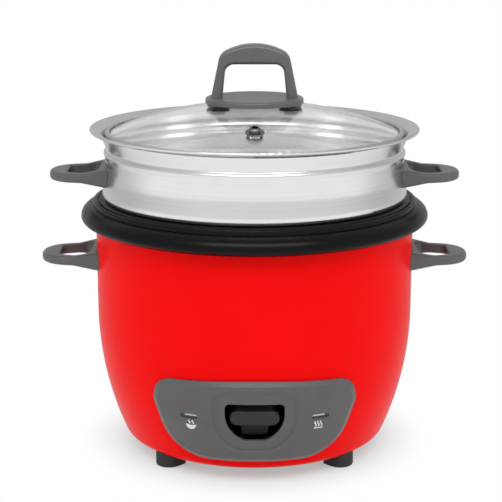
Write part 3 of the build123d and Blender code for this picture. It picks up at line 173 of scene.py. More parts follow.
# %% A moulded skin
def moulded_plastic(name, colour, grain_mm, roughness, grain_strength, shine=0.3):
    """Plastic, or another pressed mass, with pits of one size and streaks where it flowed."""
    material, tree, shader, place = start_material(name, {"Specular IOR Level": shine})
    flow = add_node(tree, "ShaderNodeTexNoise", {"Vector": place, "Scale": per_mm(14), "Detail": 4.0})
    tint = add_node(tree, "ShaderNodeMix", {"Factor": flow.outputs["Fac"]}, data_type="RGBA")
    set_inputs(tint, {"A": linear(colour, gain=0.86), "B": linear(colour, gain=1.14)})
    gloss = add_node(tree, "ShaderNodeMapRange", {"Value": flow.outputs["Fac"]})
    set_inputs(gloss, {"To Min": roughness - 0.06, "To Max": roughness + 0.06})
    pits = add_node(tree, "ShaderNodeTexVoronoi", {"Vector": place}, feature="SMOOTH_F1")
    set_inputs(pits, {"Scale": per_mm(grain_mm)})
    grain = add_node(tree, "ShaderNodeBump", {"Height": pits.outputs["Distance"], "Distance": 0.00015})
    set_inputs(grain, {"Strength": grain_strength})
    set_inputs(shader, {"Base Color": tint.outputs["Result"], "Roughness": gloss.outputs["Result"]})
    set_inputs(shader, {"Normal": grain.outputs["Normal"]})
    return material


# Phenolic with a satin polish: a long soft highlight on black. All grains here are drawn coarser than the
# real 0.3 mm, so that they show.
dress(moulded_plastic("black_phenolic", "0A0A0A", 0.9, 0.28, grain_strength=0.08, shine=0.14), "top_ring")

# %% [markdown]
# ## The other moulded pieces
# The panel has a deeper grain, the switch is satin, and the handles are a filled grey phenolic that takes
# heat. Each could have a tree of its own, but the same skin with other numbers gives all of them, and then
# they look like pieces from one factory.

# %% Plastics of the handles, panel and switch
# Gloss ABS: small clear highlights on black.
gloss_black = moulded_plastic("gloss_black_abs", "0C0C0C", 0.7, 0.26, grain_strength=0.05, shine=0.12)
dress(gloss_black, "contact_switch", "cord_gland")
# Satin ABS: a dull charcoal bar that stands out from the black behind it.
charcoal = moulded_plastic("satin_charcoal_abs", "333333", 0.7, 0.36, grain_strength=0.10, shine=0.18)
dress(charcoal, "cook_paddle")
# ABS from a spark-eroded mould: the pits break the highlight into an even grey.
grained = moulded_plastic("spark_grained_grey_abs", "575757", 0.6, 0.34, grain_strength=0.18, shine=0.50)
dress(grained, "control_panel")
# Filled phenolic: a dry grey with pale light along its edges. The side handles take a darker copy of the
# lid's grey, as painted shade, so the lid's looks a little lighter.
side_handles = [name for name in nodes if name.endswith(("_handle_right", "_handle_left"))]
shaded_handle_grey = moulded_plastic("dark_grey_phenolic", "565656", 0.7, 0.34, grain_strength=0.14, shine=0.55)
dress(shaded_handle_grey, *side_handles)
lid_grey = moulded_plastic("grey_phenolic", "5E5E5E", 0.7, 0.32, grain_strength=0.14, shine=0.60)
dress(lid_grey, "lid_handle")
# Steatite is pressed and fired: pale and chalky, with no clear reflection.
dress(moulded_plastic("pale_steatite", "D9D2C4", 0.5, 0.6, grain_strength=0.2), "terminal_block")
# Ferrite is pressed and sintered: a dark, dull, stony grey.
dress(moulded_plastic("sintered_ferrite", "34343A", 0.5, 0.55, grain_strength=0.3), "ferrite")

# %% [markdown]
# ## Rubbers
# Feet, gaskets and washers are moulded rubber: dull, a little dusty, with no clear reflection. Dust could
# be scattered as grains, but at this size one noise that lightens, roughens and lifts the skin looks the
# same.

# %% Rubber of the feet and the lid's gaskets
def moulded_rubber(name, colour):
    """Dull rubber with a breath of dust."""
    material, tree, shader, place = start_material(name, {})
    dust = add_node(tree, "ShaderNodeTexNoise", {"Vector": place, "Scale": per_mm(5), "Detail": 6.0})
    tint = add_node(tree, "ShaderNodeMix", {"Factor": dust.outputs["Fac"]}, data_type="RGBA")
    set_inputs(tint, {"A": linear(colour, gain=0.8), "B": linear(colour, gain=1.3)})
    rough = add_node(tree, "ShaderNodeMapRange", {"Value": dust.outputs["Fac"]})
    set_inputs(rough, {"To Min": 0.6, "To Max": 0.85})
    skin = add_node(tree, "ShaderNodeBump", {"Height": dust.outputs["Fac"], "Distance": 0.0002})
    set_inputs(skin, {"Strength": 0.2})
    set_inputs(shader, {"Base Color": tint.outputs["Result"], "Roughness": rough.outputs["Result"]})
    set_inputs(shader, {"Normal": skin.outputs["Normal"]})
    return material


# Black rubber is filled with soot and swallows most light. Silicone is paler and looks softer.
dress(moulded_rubber("black_rubber", "2A2A2A"), "feet")
dress(moulded_rubber("grey_silicone_rubber", "6E6E6C"), "lid_gaskets", "lid_washers")

# %% [markdown]
# ## Turned and drawn metals
# The tray is spun over a form, and the tool leaves rings round its axis, which the eye sees as fine lines
# that run along every highlight. Rings could come from a Wave texture, but real ones are uneven. Noise
# that reads only a point's height and its distance from the axis is uneven too, and closes on itself with
# no seam.

# %% Metals with rings round the upright axis
def height_and_radius(tree, place):
    """Outputs that give a point's height and its distance from the upright axis."""
    parts = add_node(tree, "ShaderNodeSeparateXYZ", {"Vector": place}).outputs
    flat = add_node(tree, "ShaderNodeCombineXYZ", {"X": parts["X"], "Y": parts["Y"]})
    radius = add_node(tree, "ShaderNodeVectorMath", {0: flat.outputs["Vector"]}, operation="LENGTH")
    return parts["Z"], radius.outputs["Value"]


def ringed_metal(name, colour, roughness, ring_mm, depth=0.12, spread=0.10):
    """Bare metal with tool rings of one width and depth, and roughness that varies by spread."""
    material, tree, shader, place = start_material(name, {"Metallic": 1.0})
    height, radius = height_and_radius(tree, place)
    rings = add_node(tree, "ShaderNodeCombineXYZ", {"X": radius, "Y": height})
    lines = add_node(tree, "ShaderNodeTexNoise", {"Vector": rings.outputs["Vector"], "Detail": 5.0})
    set_inputs(lines, {"Scale": per_mm(ring_mm)})
    cloud = add_node(tree, "ShaderNodeTexNoise", {"Vector": place, "Scale": per_mm(25), "Detail": 3.0})
    mixed = add_node(tree, "ShaderNodeMix", {"A": lines.outputs["Fac"], "B": cloud.outputs["Fac"]})
    set_inputs(mixed, {"Factor": 0.4})
    gloss = add_node(tree, "ShaderNodeMapRange", {"Value": mixed.outputs["Result"]})
    set_inputs(gloss, {"To Min": roughness - spread, "To Max": roughness + spread})
    tint = add_node(tree, "ShaderNodeMix", {"Factor": mixed.outputs["Result"]}, data_type="RGBA")
    set_inputs(tint, {"A": linear(colour, gain=0.9), "B": linear(colour, gain=1.08)})
    groove = add_node(tree, "ShaderNodeBump", {"Height": lines.outputs["Fac"], "Distance": 0.0001})
    set_inputs(groove, {"Strength": depth})
    set_inputs(shader, {"Base Color": tint.outputs["Result"], "Roughness": gloss.outputs["Result"]})
    set_inputs(shader, {"Normal": groove.outputs["Normal"]})
    return material


# Spun aluminium is bright and silky, drawn aluminium is greyer, and a faced casting keeps the lathe's marks.
# Real rings are about 0.5 mm apart. These are wider, so that they show.
dress(ringed_metal("spun_aluminium", "EAEAEA", 0.25, ring_mm=1.4, depth=0.10, spread=0.07), "steamer_tray")
dress(ringed_metal("drawn_aluminium", "BDBEC0", 0.36, ring_mm=1.0), "sensor_cap")
dress(ringed_metal("faced_cast_aluminium", "B4B5B8", 0.42, ring_mm=0.9, depth=0.3), "heating_plate")
# Polished stainless steel and nickelled brass are near mirrors, with thin crisp highlights.
dress(ringed_metal("polished_stainless", "CFCFCF", 0.16, ring_mm=0.8, depth=0.05, spread=0.05), "lid_rim")
dress(ringed_metal("nickelled_brass", "858585", 0.14, ring_mm=0.8, depth=0.05, spread=0.05), "lid_vent")

# %% [markdown]
# ## Coated pot
# The pot is drawn aluminium, bare outside, with a sprayed non-stick coat inside and on its flange: dark,
# dull and flecked. It is one solid, so the coat could be a second thin solid, or faces chosen by hand.
# Here the material works out for itself where the coat is: a point is inside where it is nearer to the
# pot's axis and mouth than a line in the middle of the wall, which bends round the floor's corner.

# %% Where the pot is coated
def inside_pot(tree, place, corner_radius, corner_z, bend, flange_z):
    """1 on the pot's coated side and on its flange, 0 on its bare side."""
    height, radius = height_and_radius(tree, place)
    out = add_node(tree, "ShaderNodeMath", {0: radius, 1: corner_radius}, operation="SUBTRACT")
    down = add_node(tree, "ShaderNodeMath", {0: corner_z, 1: height}, operation="SUBTRACT")
    past = add_node(tree, "ShaderNodeCombineXYZ", {"X": out.outputs[0], "Y": down.outputs[0]})
    corner = add_node(tree, "ShaderNodeVectorMath", {0: past.outputs[0], 1: (0, 0, 0)}, operation="MAXIMUM")
    reach = add_node(tree, "ShaderNodeVectorMath", {0: corner.outputs[0]}, operation="LENGTH")
    inner = add_node(tree, "ShaderNodeMath", {0: reach.outputs["Value"], 1: bend}, operation="LESS_THAN")
    above = add_node(tree, "ShaderNodeMath", {0: height, 1: flange_z}, operation="GREATER_THAN")
    coat = add_node(tree, "ShaderNodeMath", {0: inner.outputs[0], 1: above.outputs[0]}, operation="MAXIMUM")
    return coat.outputs[0]


def coated_pot(**wall):
    """Bare aluminium outside, and a dark coat with pale flecks inside a wall of these sizes."""
    material, tree, shader, place = start_material("nonstick_coated_aluminium", {})
    coat = inside_pot(tree, place, **wall)
    cells = add_node(tree, "ShaderNodeTexVoronoi", {"Vector": place, "Scale": per_mm(2.2)})
    fleck = add_node(tree, "ShaderNodeMapRange", {"Value": cells.outputs["Distance"]})
    set_inputs(fleck, {"From Min": 0.16, "From Max": 0.10})
    coat_tint = add_node(tree, "ShaderNodeMix", {"Factor": fleck.outputs["Result"]}, data_type="RGBA")
    set_inputs(coat_tint, {"A": linear("1E1E20"), "B": linear("4C4C50")})
    tint = add_node(tree, "ShaderNodeMix", {"Factor": coat}, data_type="RGBA")
    set_inputs(tint, {"A": linear("BDBEC0"), "B": coat_tint.outputs["Result"]})
    bare = add_node(tree, "ShaderNodeMath", {0: 1.0, 1: coat}, operation="SUBTRACT")
    cloud = add_node(tree, "ShaderNodeTexNoise", {"Vector": place, "Scale": per_mm(20), "Detail": 3.0})
    gloss = add_node(tree, "ShaderNodeMapRange", {"Value": cloud.outputs["Fac"]})
    set_inputs(gloss, {"To Min": 0.30, "To Max": 0.46})
    set_inputs(shader, {"Base Color": tint.outputs["Result"], "Metallic": bare.outputs[0]})
    set_inputs(shader, {"Roughness": gloss.outputs["Result"]})
    return material


dress(coated_pot(corner_radius=0.068, corner_z=0.074, bend=0.0154, flange_z=0.148), "inner_pot")

# %% [markdown]
# ## Plated and dull metals
# Zinc plate shows a mosaic of crystals, the spangle. Screws and springs are drawn steel with a bright
# plate, and the element's tube is blued by heat. Each could be one flat grey, but the eye knows plated
# steel by its broken reflection, and cells of a Voronoi pattern, each with its own tint, give just that.

# %% Metals with a crystal or oxide pattern
def plated_metal(name, colour, roughness, crystal_mm, contrast=0.12):
    """Metal whose crystals, or spots of oxide, have slightly different tints."""
    material, tree, shader, place = start_material(name, {"Metallic": 1.0})
    cells = add_node(tree, "ShaderNodeTexVoronoi", {"Vector": place, "Scale": per_mm(crystal_mm)})
    fine = add_node(tree, "ShaderNodeTexNoise", {"Vector": place, "Detail": 4.0})
    set_inputs(fine, {"Scale": per_mm(crystal_mm / 4)})
    tint = add_node(tree, "ShaderNodeMix", {"Factor": cells.outputs["Color"]}, data_type="RGBA")
    set_inputs(tint, {"A": linear(colour, gain=1 - contrast), "B": linear(colour, gain=1 + contrast)})
    gloss = add_node(tree, "ShaderNodeMapRange", {"Value": fine.outputs["Fac"]})
    set_inputs(gloss, {"To Min": roughness - 0.08, "To Max": roughness + 0.08})
    set_inputs(shader, {"Base Color": tint.outputs["Result"], "Roughness": gloss.outputs["Result"]})
    return material


zinc = plated_metal("zinc_plated_steel", "B6B8B8", 0.38, crystal_mm=6.0)
dress(zinc, "base_plate", "heat_shield", "plate_spacers", "sensor_can")
dress(zinc, "cook_lever", "lever_bracket", "fuse_clip")
# The small pieces are glossier, and their crystals are finer.
screw_names = [name for name in nodes if name.endswith("_screws")]
screw_steel = plated_metal("bright_plated_screw_steel", "C9C9C6", 0.24, crystal_mm=1.2)
dress(screw_steel, "lever_pin", "push_nuts", *screw_names)
dress(plated_metal("drawn_spring_wire", "9FA0A2", 0.3, crystal_mm=0.8), "sensor_spring", "magnet_spring")
dress(plated_metal("nickelled_magnet", "A3A19A", 0.3, crystal_mm=1.5), "magnet")
# Heat leaves a dull brownish oxide, whose spots differ more.
blued_tube = plated_metal("heat_blued_steel_tube", "5C574F", 0.45, crystal_mm=3.0, contrast=0.25)
dress(blued_tube, "heating_element")

# %% [markdown]
# ## Glass
# The lid is clear tempered glass with a faint haze of wear on its skin. A mix of clear and glossy shaders
# could fake it, but the solid has real thickness, so the shader's own transmission bends light as glass
# does.

# %% Glass of the lid
def tempered_glass():
    """Clear glass with a trace of green from iron, roughened a little where it is worn."""
    surface = {"IOR": 1.52, "Transmission Weight": 1.0}
    material, tree, shader, place = start_material("tempered_glass", surface)
    haze = add_node(tree, "ShaderNodeTexNoise", {"Vector": place, "Scale": per_mm(30), "Detail": 4.0})
    wear = add_node(tree, "ShaderNodeMapRange", {"Value": haze.outputs["Fac"]})
    set_inputs(wear, {"To Min": 0.0, "To Max": 0.035})
    tint = add_node(tree, "ShaderNodeMix", {"Factor": haze.outputs["Fac"]}, data_type="RGBA")
    set_inputs(tint, {"A": linear("FAFBFA"), "B": linear("FFFFFF")})
    set_inputs(shader, {"Base Color": tint.outputs["Result"], "Roughness": wear.outputs["Result"]})
    return material


dress(tempered_glass(), "lid_glass")

# %% [markdown]
# ## Lamp tubes and fuse sleeve
# The lamps behind the windows are small glass tubes with an amber cast. The fuse wears a sleeve of woven
# glass yarn, which scatters so much light that the eye sees a pale cloth. Its threads could be modelled,
# but it hides under the heating plate, so a Wave texture gives the weave its tint and its bump.

# %% Lamp tubes and fuse sleeve
def glass_yarn_sleeve():
    """Woven yarn, pale and dry, with a raised weave."""
    material, tree, shader, place = start_material("woven_glass_sleeve", {"Roughness": 0.7})
    weave = add_node(tree, "ShaderNodeTexWave", {"Vector": place, "Scale": per_mm(6), "Distortion": 2.0})
    tint = add_node(tree, "ShaderNodeMix", {"Factor": weave.outputs["Fac"]}, data_type="RGBA")
    set_inputs(tint, {"A": linear("C9C2AE"), "B": linear("EFE9D8")})
    yarn = add_node(tree, "ShaderNodeBump", {"Height": weave.outputs["Fac"], "Distance": 0.0003})
    set_inputs(yarn, {"Strength": 0.5})
    set_inputs(shader, {"Base Color": tint.outputs["Result"], "Normal": yarn.outputs["Normal"]})
    return material


def lamp_tube_glass():
    """Unlit neon glass, with an amber cast that is uneven along the tube."""
    surface = {"IOR": 1.5, "Roughness": 0.1, "Transmission Weight": 0.7}
    material, tree, shader, place = start_material("neon_lamp_glass", surface)
    cast = add_node(tree, "ShaderNodeTexNoise", {"Vector": place, "Scale": per_mm(3), "Detail": 2.0})
    tint = add_node(tree, "ShaderNodeMix", {"Factor": cast.outputs["Fac"]}, data_type="RGBA")
    set_inputs(tint, {"A": linear("D9A878"), "B": linear("F2DCC2")})
    set_inputs(shader, {"Base Color": tint.outputs["Result"]})
    return material


dress(glass_yarn_sleeve(), "thermal_fuse")
dress(lamp_tube_glass(), "cook_lamp", "warm_lamp")

# %% [markdown]
# ## Indicator windows
# Each window is a bar of smoked polycarbonate. Unlit, it is almost black, and the reflector behind it
# shows as one pale blue-green dash. Real smoked plastic with a reflector inside would need many bounces
# of light for a few pixels. So the dash is a region of the material, measured from the window's own
# middle, with soft ends.

# %% Smoked windows with a pale dash
DASH_HALF_LENGTH = 0.0040
DASH_HALF_HEIGHT = 0.0006


def smoked_window(name, middle):
    """Near-black gloss plastic with a pale dash round the middle."""
    material, tree, shader, place = start_material(name, {"Roughness": 0.12, "Coat Weight": 0.5})
    off = add_node(tree, "ShaderNodeVectorMath", {0: place, 1: middle}, operation="SUBTRACT")
    size = add_node(tree, "ShaderNodeVectorMath", {0: off.outputs["Vector"]}, operation="ABSOLUTE")
    span = add_node(tree, "ShaderNodeSeparateXYZ", {"Vector": size.outputs["Vector"]}).outputs
    along = add_node(tree, "ShaderNodeMapRange", {"Value": span["X"]}, interpolation_type="SMOOTHSTEP")
    set_inputs(along, {"From Min": 1.08 * DASH_HALF_LENGTH, "From Max": 0.9 * DASH_HALF_LENGTH})
    up = add_node(tree, "ShaderNodeMapRange", {"Value": span["Z"]}, interpolation_type="SMOOTHSTEP")
    set_inputs(up, {"From Min": 1.4 * DASH_HALF_HEIGHT, "From Max": 0.5 * DASH_HALF_HEIGHT})
    dash = add_node(tree, "ShaderNodeMath", {0: along.outputs[0], 1: up.outputs[0]}, operation="MULTIPLY")
    tint = add_node(tree, "ShaderNodeMix", {"Factor": dash.outputs["Value"]}, data_type="RGBA")
    set_inputs(tint, {"A": linear("0C1213"), "B": linear("B9DCDA")})
    set_inputs(shader, {"Base Color": tint.outputs["Result"]})
    return material


for lens in ("cook_lens", "warm_lens"):
    low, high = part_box(lens)
    dress(smoked_window("smoked_polycarbonate_" + lens, (low + high) / 2), lens)

# %% [markdown]
# ## Signs under the windows
# A small white sign stands under each window: a bowl that steams, and waves of warmth over a dish. Such
# signs are pad printed, a thin even film of ink. They could be an image on the panel's material, but
# strokes stay sharp at any distance. Each stroke is first drawn flat, as a row of points in millimetres
# round the sign's middle: curves come from a formula, and straight strokes have two ends.

# %% Strokes of the two signs
def wave_stroke(x, low, high, sway=0.45, steps=12):
    """An upright wave from low to high."""
    shares = [step / steps for step in range(steps + 1)]
    return [(x + sway * math.sin(2 * math.pi * share), low + (high - low) * share) for share in shares]


def arc_stroke(z, radius, first, last, steps=14):
    """Part of a circle round the sign's middle line, from one angle to another in degrees."""
    turns = [math.radians(first + (last - first) * step / steps) for step in range(steps + 1)]
    return [(radius * math.cos(turn), z + radius * math.sin(turn)) for turn in turns]


RIM_Z = -0.3
bowl = [arc_stroke(RIM_Z, radius, 180, 360) for radius in (2.4, 1.9, 1.4, 0.9, 0.4)]
bowl.append([(-3.0, RIM_Z), (3.0, RIM_Z)])
bowl += [wave_stroke(x, 0.7, 2.8) for x in (-1.0, 1.0)]
DISH_Z = -2.1
warmth = [[(-2.6, DISH_Z), (2.6, DISH_Z)]]
warmth += [wave_stroke(x, -1.1, 2.4) for x in (-1.6, 0.0, 1.6)]
print("strokes in the bowl:", len(bowl), "and in the warmth:", len(warmth))

# %% [markdown]
# ## Ink on the curved panel
# The panel bends round the shell, so flat strokes would sink in or float. A Shrinkwrap modifier could
# press them on, but then two rules would set their place. Here each stroke becomes a ribbon of faces, and
# a ray from the front drops every point of it straight onto the panel's own face, so the ink lies on it
# from any side.

# %% Ribbons of ink
INK_HALF_WIDTH = 0.32
INK_HEIGHT = 0.05
SIGN_X = 36.0
SIGN_Z = 37.4
IN_FRONT = -0.3
panel_mesh = nodes["control_panel"].data
panel_corners = [vertex.co for vertex in panel_mesh.vertices]
panel_faces = BVHTree.FromPolygons(panel_corners, [face.vertices for face in panel_mesh.polygons])


def on_panel(x, z):
    """The place, in metres, of the ink over a point of the panel that is given in millimetres."""
    hit = panel_faces.ray_cast(Vector((x / 1000, IN_FRONT, z / 1000)), Vector((0, 1, 0)))[0]
    return (x / 1000, hit.y - INK_HEIGHT / 1000, z / 1000)


def printed_sign(name, strokes, centre_x):
    """Ribbons of ink along strokes, dropped onto the panel."""
    made = bmesh.new()
    for stroke in strokes:
        rows = []
        for index, (x, z) in enumerate(stroke):
            before = Vector(stroke[max(index - 1, 0)])
            after = Vector(stroke[min(index + 1, len(stroke) - 1)])
            across = (after - before).normalized().orthogonal() * INK_HALF_WIDTH
            edges = [(centre_x + x + side * across.x, SIGN_Z + z + side * across.y) for side in (-1, 1)]
            rows.append([made.verts.new(on_panel(*edge)) for edge in edges])
        for (a, b), (c, d) in zip(rows, rows[1:]):
            made.faces.new((a, b, d, c))
    bmesh.ops.recalc_face_normals(made, faces=made.faces)
    for face in made.faces:
        if face.normal.y > 0:
            face.normal_flip()
    mesh = bpy.data.meshes.new(name)
    made.to_mesh(mesh)
    made.free()
    sign = bpy.data.objects.new(name, mesh)
    scene.collection.objects.link(sign)
    return sign


print("panel faces to print on:", len(panel_mesh.polygons))

# %% [markdown]
# ## The ink
# Pad print ink is matt and opaque, a little thin in spots, so the eye sees a soft white that isn't quite
# even. One plain white could do, but close to the panel it looks like a hole in the picture. The signs
# ride on the housing, as the panel does.

# %% Print the signs
def pad_print_ink():
    """White ink, thinner in small spots."""
    material, tree, shader, place = start_material("white_pad_print_ink", {"Roughness": 0.55})
    spots = add_node(tree, "ShaderNodeTexNoise", {"Vector": place, "Scale": per_mm(0.6), "Detail": 3.0})
    tint = add_node(tree, "ShaderNodeMix", {"Factor": spots.outputs["Fac"]}, data_type="RGBA")
    set_inputs(tint, {"A": linear("D8D8D6"), "B": linear("F6F6F4")})
    set_inputs(shader, {"Base Color": tint.outputs["Result"]})
    return material


ink = pad_print_ink()
for sign_name, strokes, side in (("cook_sign", bowl, -1), ("warm_sign", warmth, 1)):
    sign_piece = printed_sign(sign_name, strokes, side * SIGN_X)
    sign_piece.data.materials.append(ink)
    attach(sign_piece, "housing")
    print(sign_name, "faces:", len(sign_piece.data.polygons))

# %% [markdown]
# ## How a tree of Geometry Nodes starts, ends and runs
# What repeats could be copied by a loop in the script, but a tree of Geometry Nodes keeps its sizes as
# named inputs that can be changed later. Each tree here starts with such inputs, and ends by turning
# instances into plain faces with a material. It runs once on an empty object, and the result is kept as a
# plain mesh.

# %% Helpers for Geometry Nodes
def start_tree(name, sizes):
    """A tree with a named input for each size and one for the material, and the sockets that give them."""
    tree = bpy.data.node_groups.new(name, "GeometryNodeTree")
    for size, value in sizes.items():
        kind = "NodeSocketInt" if isinstance(value, int) else "NodeSocketFloat"
        tree.interface.new_socket(size, in_out="INPUT", socket_type=kind).default_value = value
    tree.interface.new_socket("Material", in_out="INPUT", socket_type="NodeSocketMaterial")
    tree.interface.new_socket("Geometry", in_out="OUTPUT", socket_type="NodeSocketGeometry")
    return tree, add_node(tree, "NodeGroupInput").outputs


def end_tree(tree, geometry, material):
    """Turn instances into plain faces, give them their material and end the tree."""
    real = add_node(tree, "GeometryNodeRealizeInstances", {"Geometry": geometry})
    painted = add_node(tree, "GeometryNodeSetMaterial", {"Geometry": real.outputs["Geometry"]})
    set_inputs(painted, {"Material": material})
    add_node(tree, "NodeGroupOutput", {"Geometry": painted.outputs["Geometry"]})
    print("tree", tree.name, "has", len(tree.nodes), "nodes")


def made_by_tree(name, tree, values):
    """Run a tree once, with some of its inputs set, and keep the result as a plain mesh at the origin."""
    holder = bpy.data.objects.new(name, bpy.data.meshes.new(name + "_seed"))
    scene.collection.objects.link(holder)
    modifier = holder.modifiers.new("tree", "NODES")
    modifier.node_group = tree
    for item in tree.interface.items_tree:
        if item.in_out == "INPUT" and item.name in values:
            modifier[item.identifier] = values[item.name]
    holder.update_tag()
    evaluated = holder.evaluated_get(bpy.context.evaluated_depsgraph_get())
    mesh = bpy.data.meshes.new_from_object(evaluated)
    holder.modifiers.remove(modifier)
    holder.data = mesh
    print(name, "faces:", len(mesh.polygons), "materials:", [m and m.name for m in mesh.materials])
    return holder


print("trees so far:", len(bpy.data.node_groups))

# %% [markdown]
# ## Filling marks in the pot
# The pot's wall carries short raised lines, one above the other, that show how far to fill it. They are
# pressed into the sheet and have its coat. They could be a bump in the material, but raised lines catch
# light at their edges, so they are real shapes: one arc that follows the wall, swept with a small round
# profile, and instanced up a line of points.

# %% Raised filling marks by Geometry Nodes
def filling_marks_tree():
    sizes = {"Wall radius": 0.0827, "Mark angle": math.radians(9), "Mark height": 0.0009}
    sizes |= {"Lowest": 0.082, "Spacing": 0.0105, "Count": 6}
    tree, given = start_tree("filling_marks", sizes)
    half_turn = add_node(tree, "ShaderNodeMath", {0: given["Mark angle"], 1: -0.5}, operation="MULTIPLY")
    first = add_node(tree, "ShaderNodeMath", {0: half_turn.outputs[0], 1: -math.pi / 2}, operation="ADD")
    arc = add_node(tree, "GeometryNodeCurveArc", {"Resolution": 16, "Radius": given["Wall radius"]})
    set_inputs(arc, {"Start Angle": first.outputs[0], "Sweep Angle": given["Mark angle"]})
    half = add_node(tree, "ShaderNodeMath", {0: given["Mark height"], 1: 0.5}, operation="MULTIPLY")
    profile = add_node(tree, "GeometryNodeCurvePrimitiveCircle", {"Resolution": 8})
    set_inputs(profile, {"Radius": half.outputs[0]})
    swept = add_node(tree, "GeometryNodeCurveToMesh", {"Curve": arc.outputs["Curve"], "Fill Caps": True})
    set_inputs(swept, {"Profile Curve": profile.outputs["Curve"]})
    base = add_node(tree, "ShaderNodeCombineXYZ", {"Z": given["Lowest"]})
    step = add_node(tree, "ShaderNodeCombineXYZ", {"Z": given["Spacing"]})
    line = add_node(tree, "GeometryNodeMeshLine", {"Count": given["Count"]})
    set_inputs(line, {"Start Location": base.outputs[0], "Offset": step.outputs[0]})
    copies = add_node(tree, "GeometryNodeInstanceOnPoints", {"Points": line.outputs["Mesh"]})
    set_inputs(copies, {"Instance": swept.outputs["Mesh"]})
    end_tree(tree, copies.outputs["Instances"], given["Material"])
    return tree


pot_coat = nodes["inner_pot"].data.materials[0]
marks = made_by_tree("filling_marks", filling_marks_tree(), {"Material": pot_coat})
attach(marks, "pot")

# %% [markdown]
# ## Cross recesses in the base screws
# Each screw under the base has a cross recess for the driver. A recess could be cut into the solid, but
# it is under a millimetre deep and only shows as a dark cross. So two thin dark bars lie crosswise in the
# face of each head. Four screws stand on one circle, so the tree puts one cross on each corner of a ring.

# %% Cross recesses by Geometry Nodes
def screw_cross_tree():
    sizes = {"Ring radius": 0.0615, "Head face": 0.0032, "Arm length": 0.0036, "Arm width": 0.0008}
    sizes |= {"Thickness": 0.0001, "Count": 4}
    tree, given = start_tree("screw_crosses", sizes)
    ring = add_node(tree, "GeometryNodeMeshCircle", {"Vertices": given["Count"]})
    set_inputs(ring, {"Radius": given["Ring radius"]})
    cross = add_node(tree, "GeometryNodeJoinGeometry")
    for x, y in (("Arm length", "Arm width"), ("Arm width", "Arm length")):
        size = add_node(tree, "ShaderNodeCombineXYZ", {"X": given[x], "Y": given[y]})
        set_inputs(size, {"Z": given["Thickness"]})
        arm = add_node(tree, "GeometryNodeMeshCube", {"Size": size.outputs[0]})
        set_inputs(cross, {"Geometry": arm.outputs["Mesh"]})
    copies = add_node(tree, "GeometryNodeInstanceOnPoints", {"Points": ring.outputs["Mesh"]})
    set_inputs(copies, {"Instance": cross.outputs["Geometry"]})
    lift = add_node(tree, "ShaderNodeCombineXYZ", {"Z": given["Head face"]})
    placed = add_node(tree, "GeometryNodeTransform", {"Geometry": copies.outputs["Instances"]})
    set_inputs(placed, {"Translation": lift.outputs[0]})
    end_tree(tree, placed.outputs["Geometry"], given["Material"])
    return tree


# A recess lies in its own shade, so its steel is nearly black to the eye.
recess_dark = plated_metal("shaded_recess_steel", "2B2B2A", 0.6, crystal_mm=1.0)
head_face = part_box("base_screws")[0].z
cross_values = {"Material": recess_dark, "Head face": head_face}
crosses = made_by_tree("screw_crosses", screw_cross_tree(), cross_values)
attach(crosses, "housing")

# %% [markdown]
# ## Springs wound anew
# Two coil springs sit in the sensor's can. In CAD they keep one length, but a pressed spring gets
# shorter. The solids could be scaled, but a CAD mesh is left alone here. So a tree winds a spring anew: a
# helix, swept with a round wire and lifted to its place.

# %% A coil by Geometry Nodes
def coil_tree():
    sizes = {"Coil radius": 0.0124, "Wire radius": 0.0006, "Turns": 6.0, "Length": 0.012, "Low end": 0.04}
    tree, given = start_tree("coil_spring", sizes)
    helix = add_node(tree, "GeometryNodeCurveSpiral", {"Resolution": 32, "Rotations": given["Turns"]})
    set_inputs(helix, {"Start Radius": given["Coil radius"], "End Radius": given["Coil radius"]})
    set_inputs(helix, {"Height": given["Length"]})
    wire = add_node(tree, "GeometryNodeCurvePrimitiveCircle", {"Resolution": 10})
    set_inputs(wire, {"Radius": given["Wire radius"]})
    tube = add_node(tree, "GeometryNodeCurveToMesh", {"Curve": helix.outputs["Curve"], "Fill Caps": True})
    set_inputs(tube, {"Profile Curve": wire.outputs["Curve"]})
    lift = add_node(tree, "ShaderNodeCombineXYZ", {"Z": given["Low end"]})
    placed = add_node(tree, "GeometryNodeTransform", {"Geometry": tube.outputs["Mesh"]})
    set_inputs(placed, {"Translation": lift.outputs[0]})
    end_tree(tree, placed.outputs["Geometry"], given["Material"])
    return tree


coil = coil_tree()

# %% [markdown]
# ## Two springs from one tree
# Each new spring takes its sizes from its solid's own box, and takes the solid's place. It could ride on
# the body that presses it, but then its other end would leave its seat. So it rides on the housing, at its
# CAD length: a joint presses the sensor's spring down onto the can's floor, and the magnet's up against
# the ferrite disc, but the springs don't flatten with them here.

# %% Wind both springs
# Solid, wire radius, turns, joint that presses the spring, how far it presses, and the end that stays
SPRINGS = (
    ("sensor_spring", 0.0006, 6.0, "sensor_slide", 0.0030, "low"),
    ("magnet_spring", 0.0004, 4.0, "cook_lever_hinge", 0.00357, "high"),
)
for spring_name, wire_radius, turns, joint, travel, held_end in SPRINGS:
    low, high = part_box(spring_name)
    height = high.z - low.z
    values = {"Wire radius": wire_radius, "Turns": turns, "Coil radius": (high.x - low.x) / 2 - wire_radius}
    values |= {"Length": height - 2 * wire_radius, "Low end": low.z + wire_radius}
    values["Material"] = nodes[spring_name].data.materials[0]
    spring = made_by_tree(spring_name + "_coil", coil, values)
    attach(spring, "housing")
    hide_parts(spring_name)
    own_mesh(spring)
    print(spring.name, "length in mm:", round(1000 * height, 2))

# %% [markdown]
# ## Camera
# The photograph was taken from about 0.9 m, a little above the lid, with a long lens. A camera could be
# moved by eye until the picture fits, but the round edges give it more surely: the focal length and the
# tilt are those that make the ring's and the tray's ellipses as open as they are in the picture.

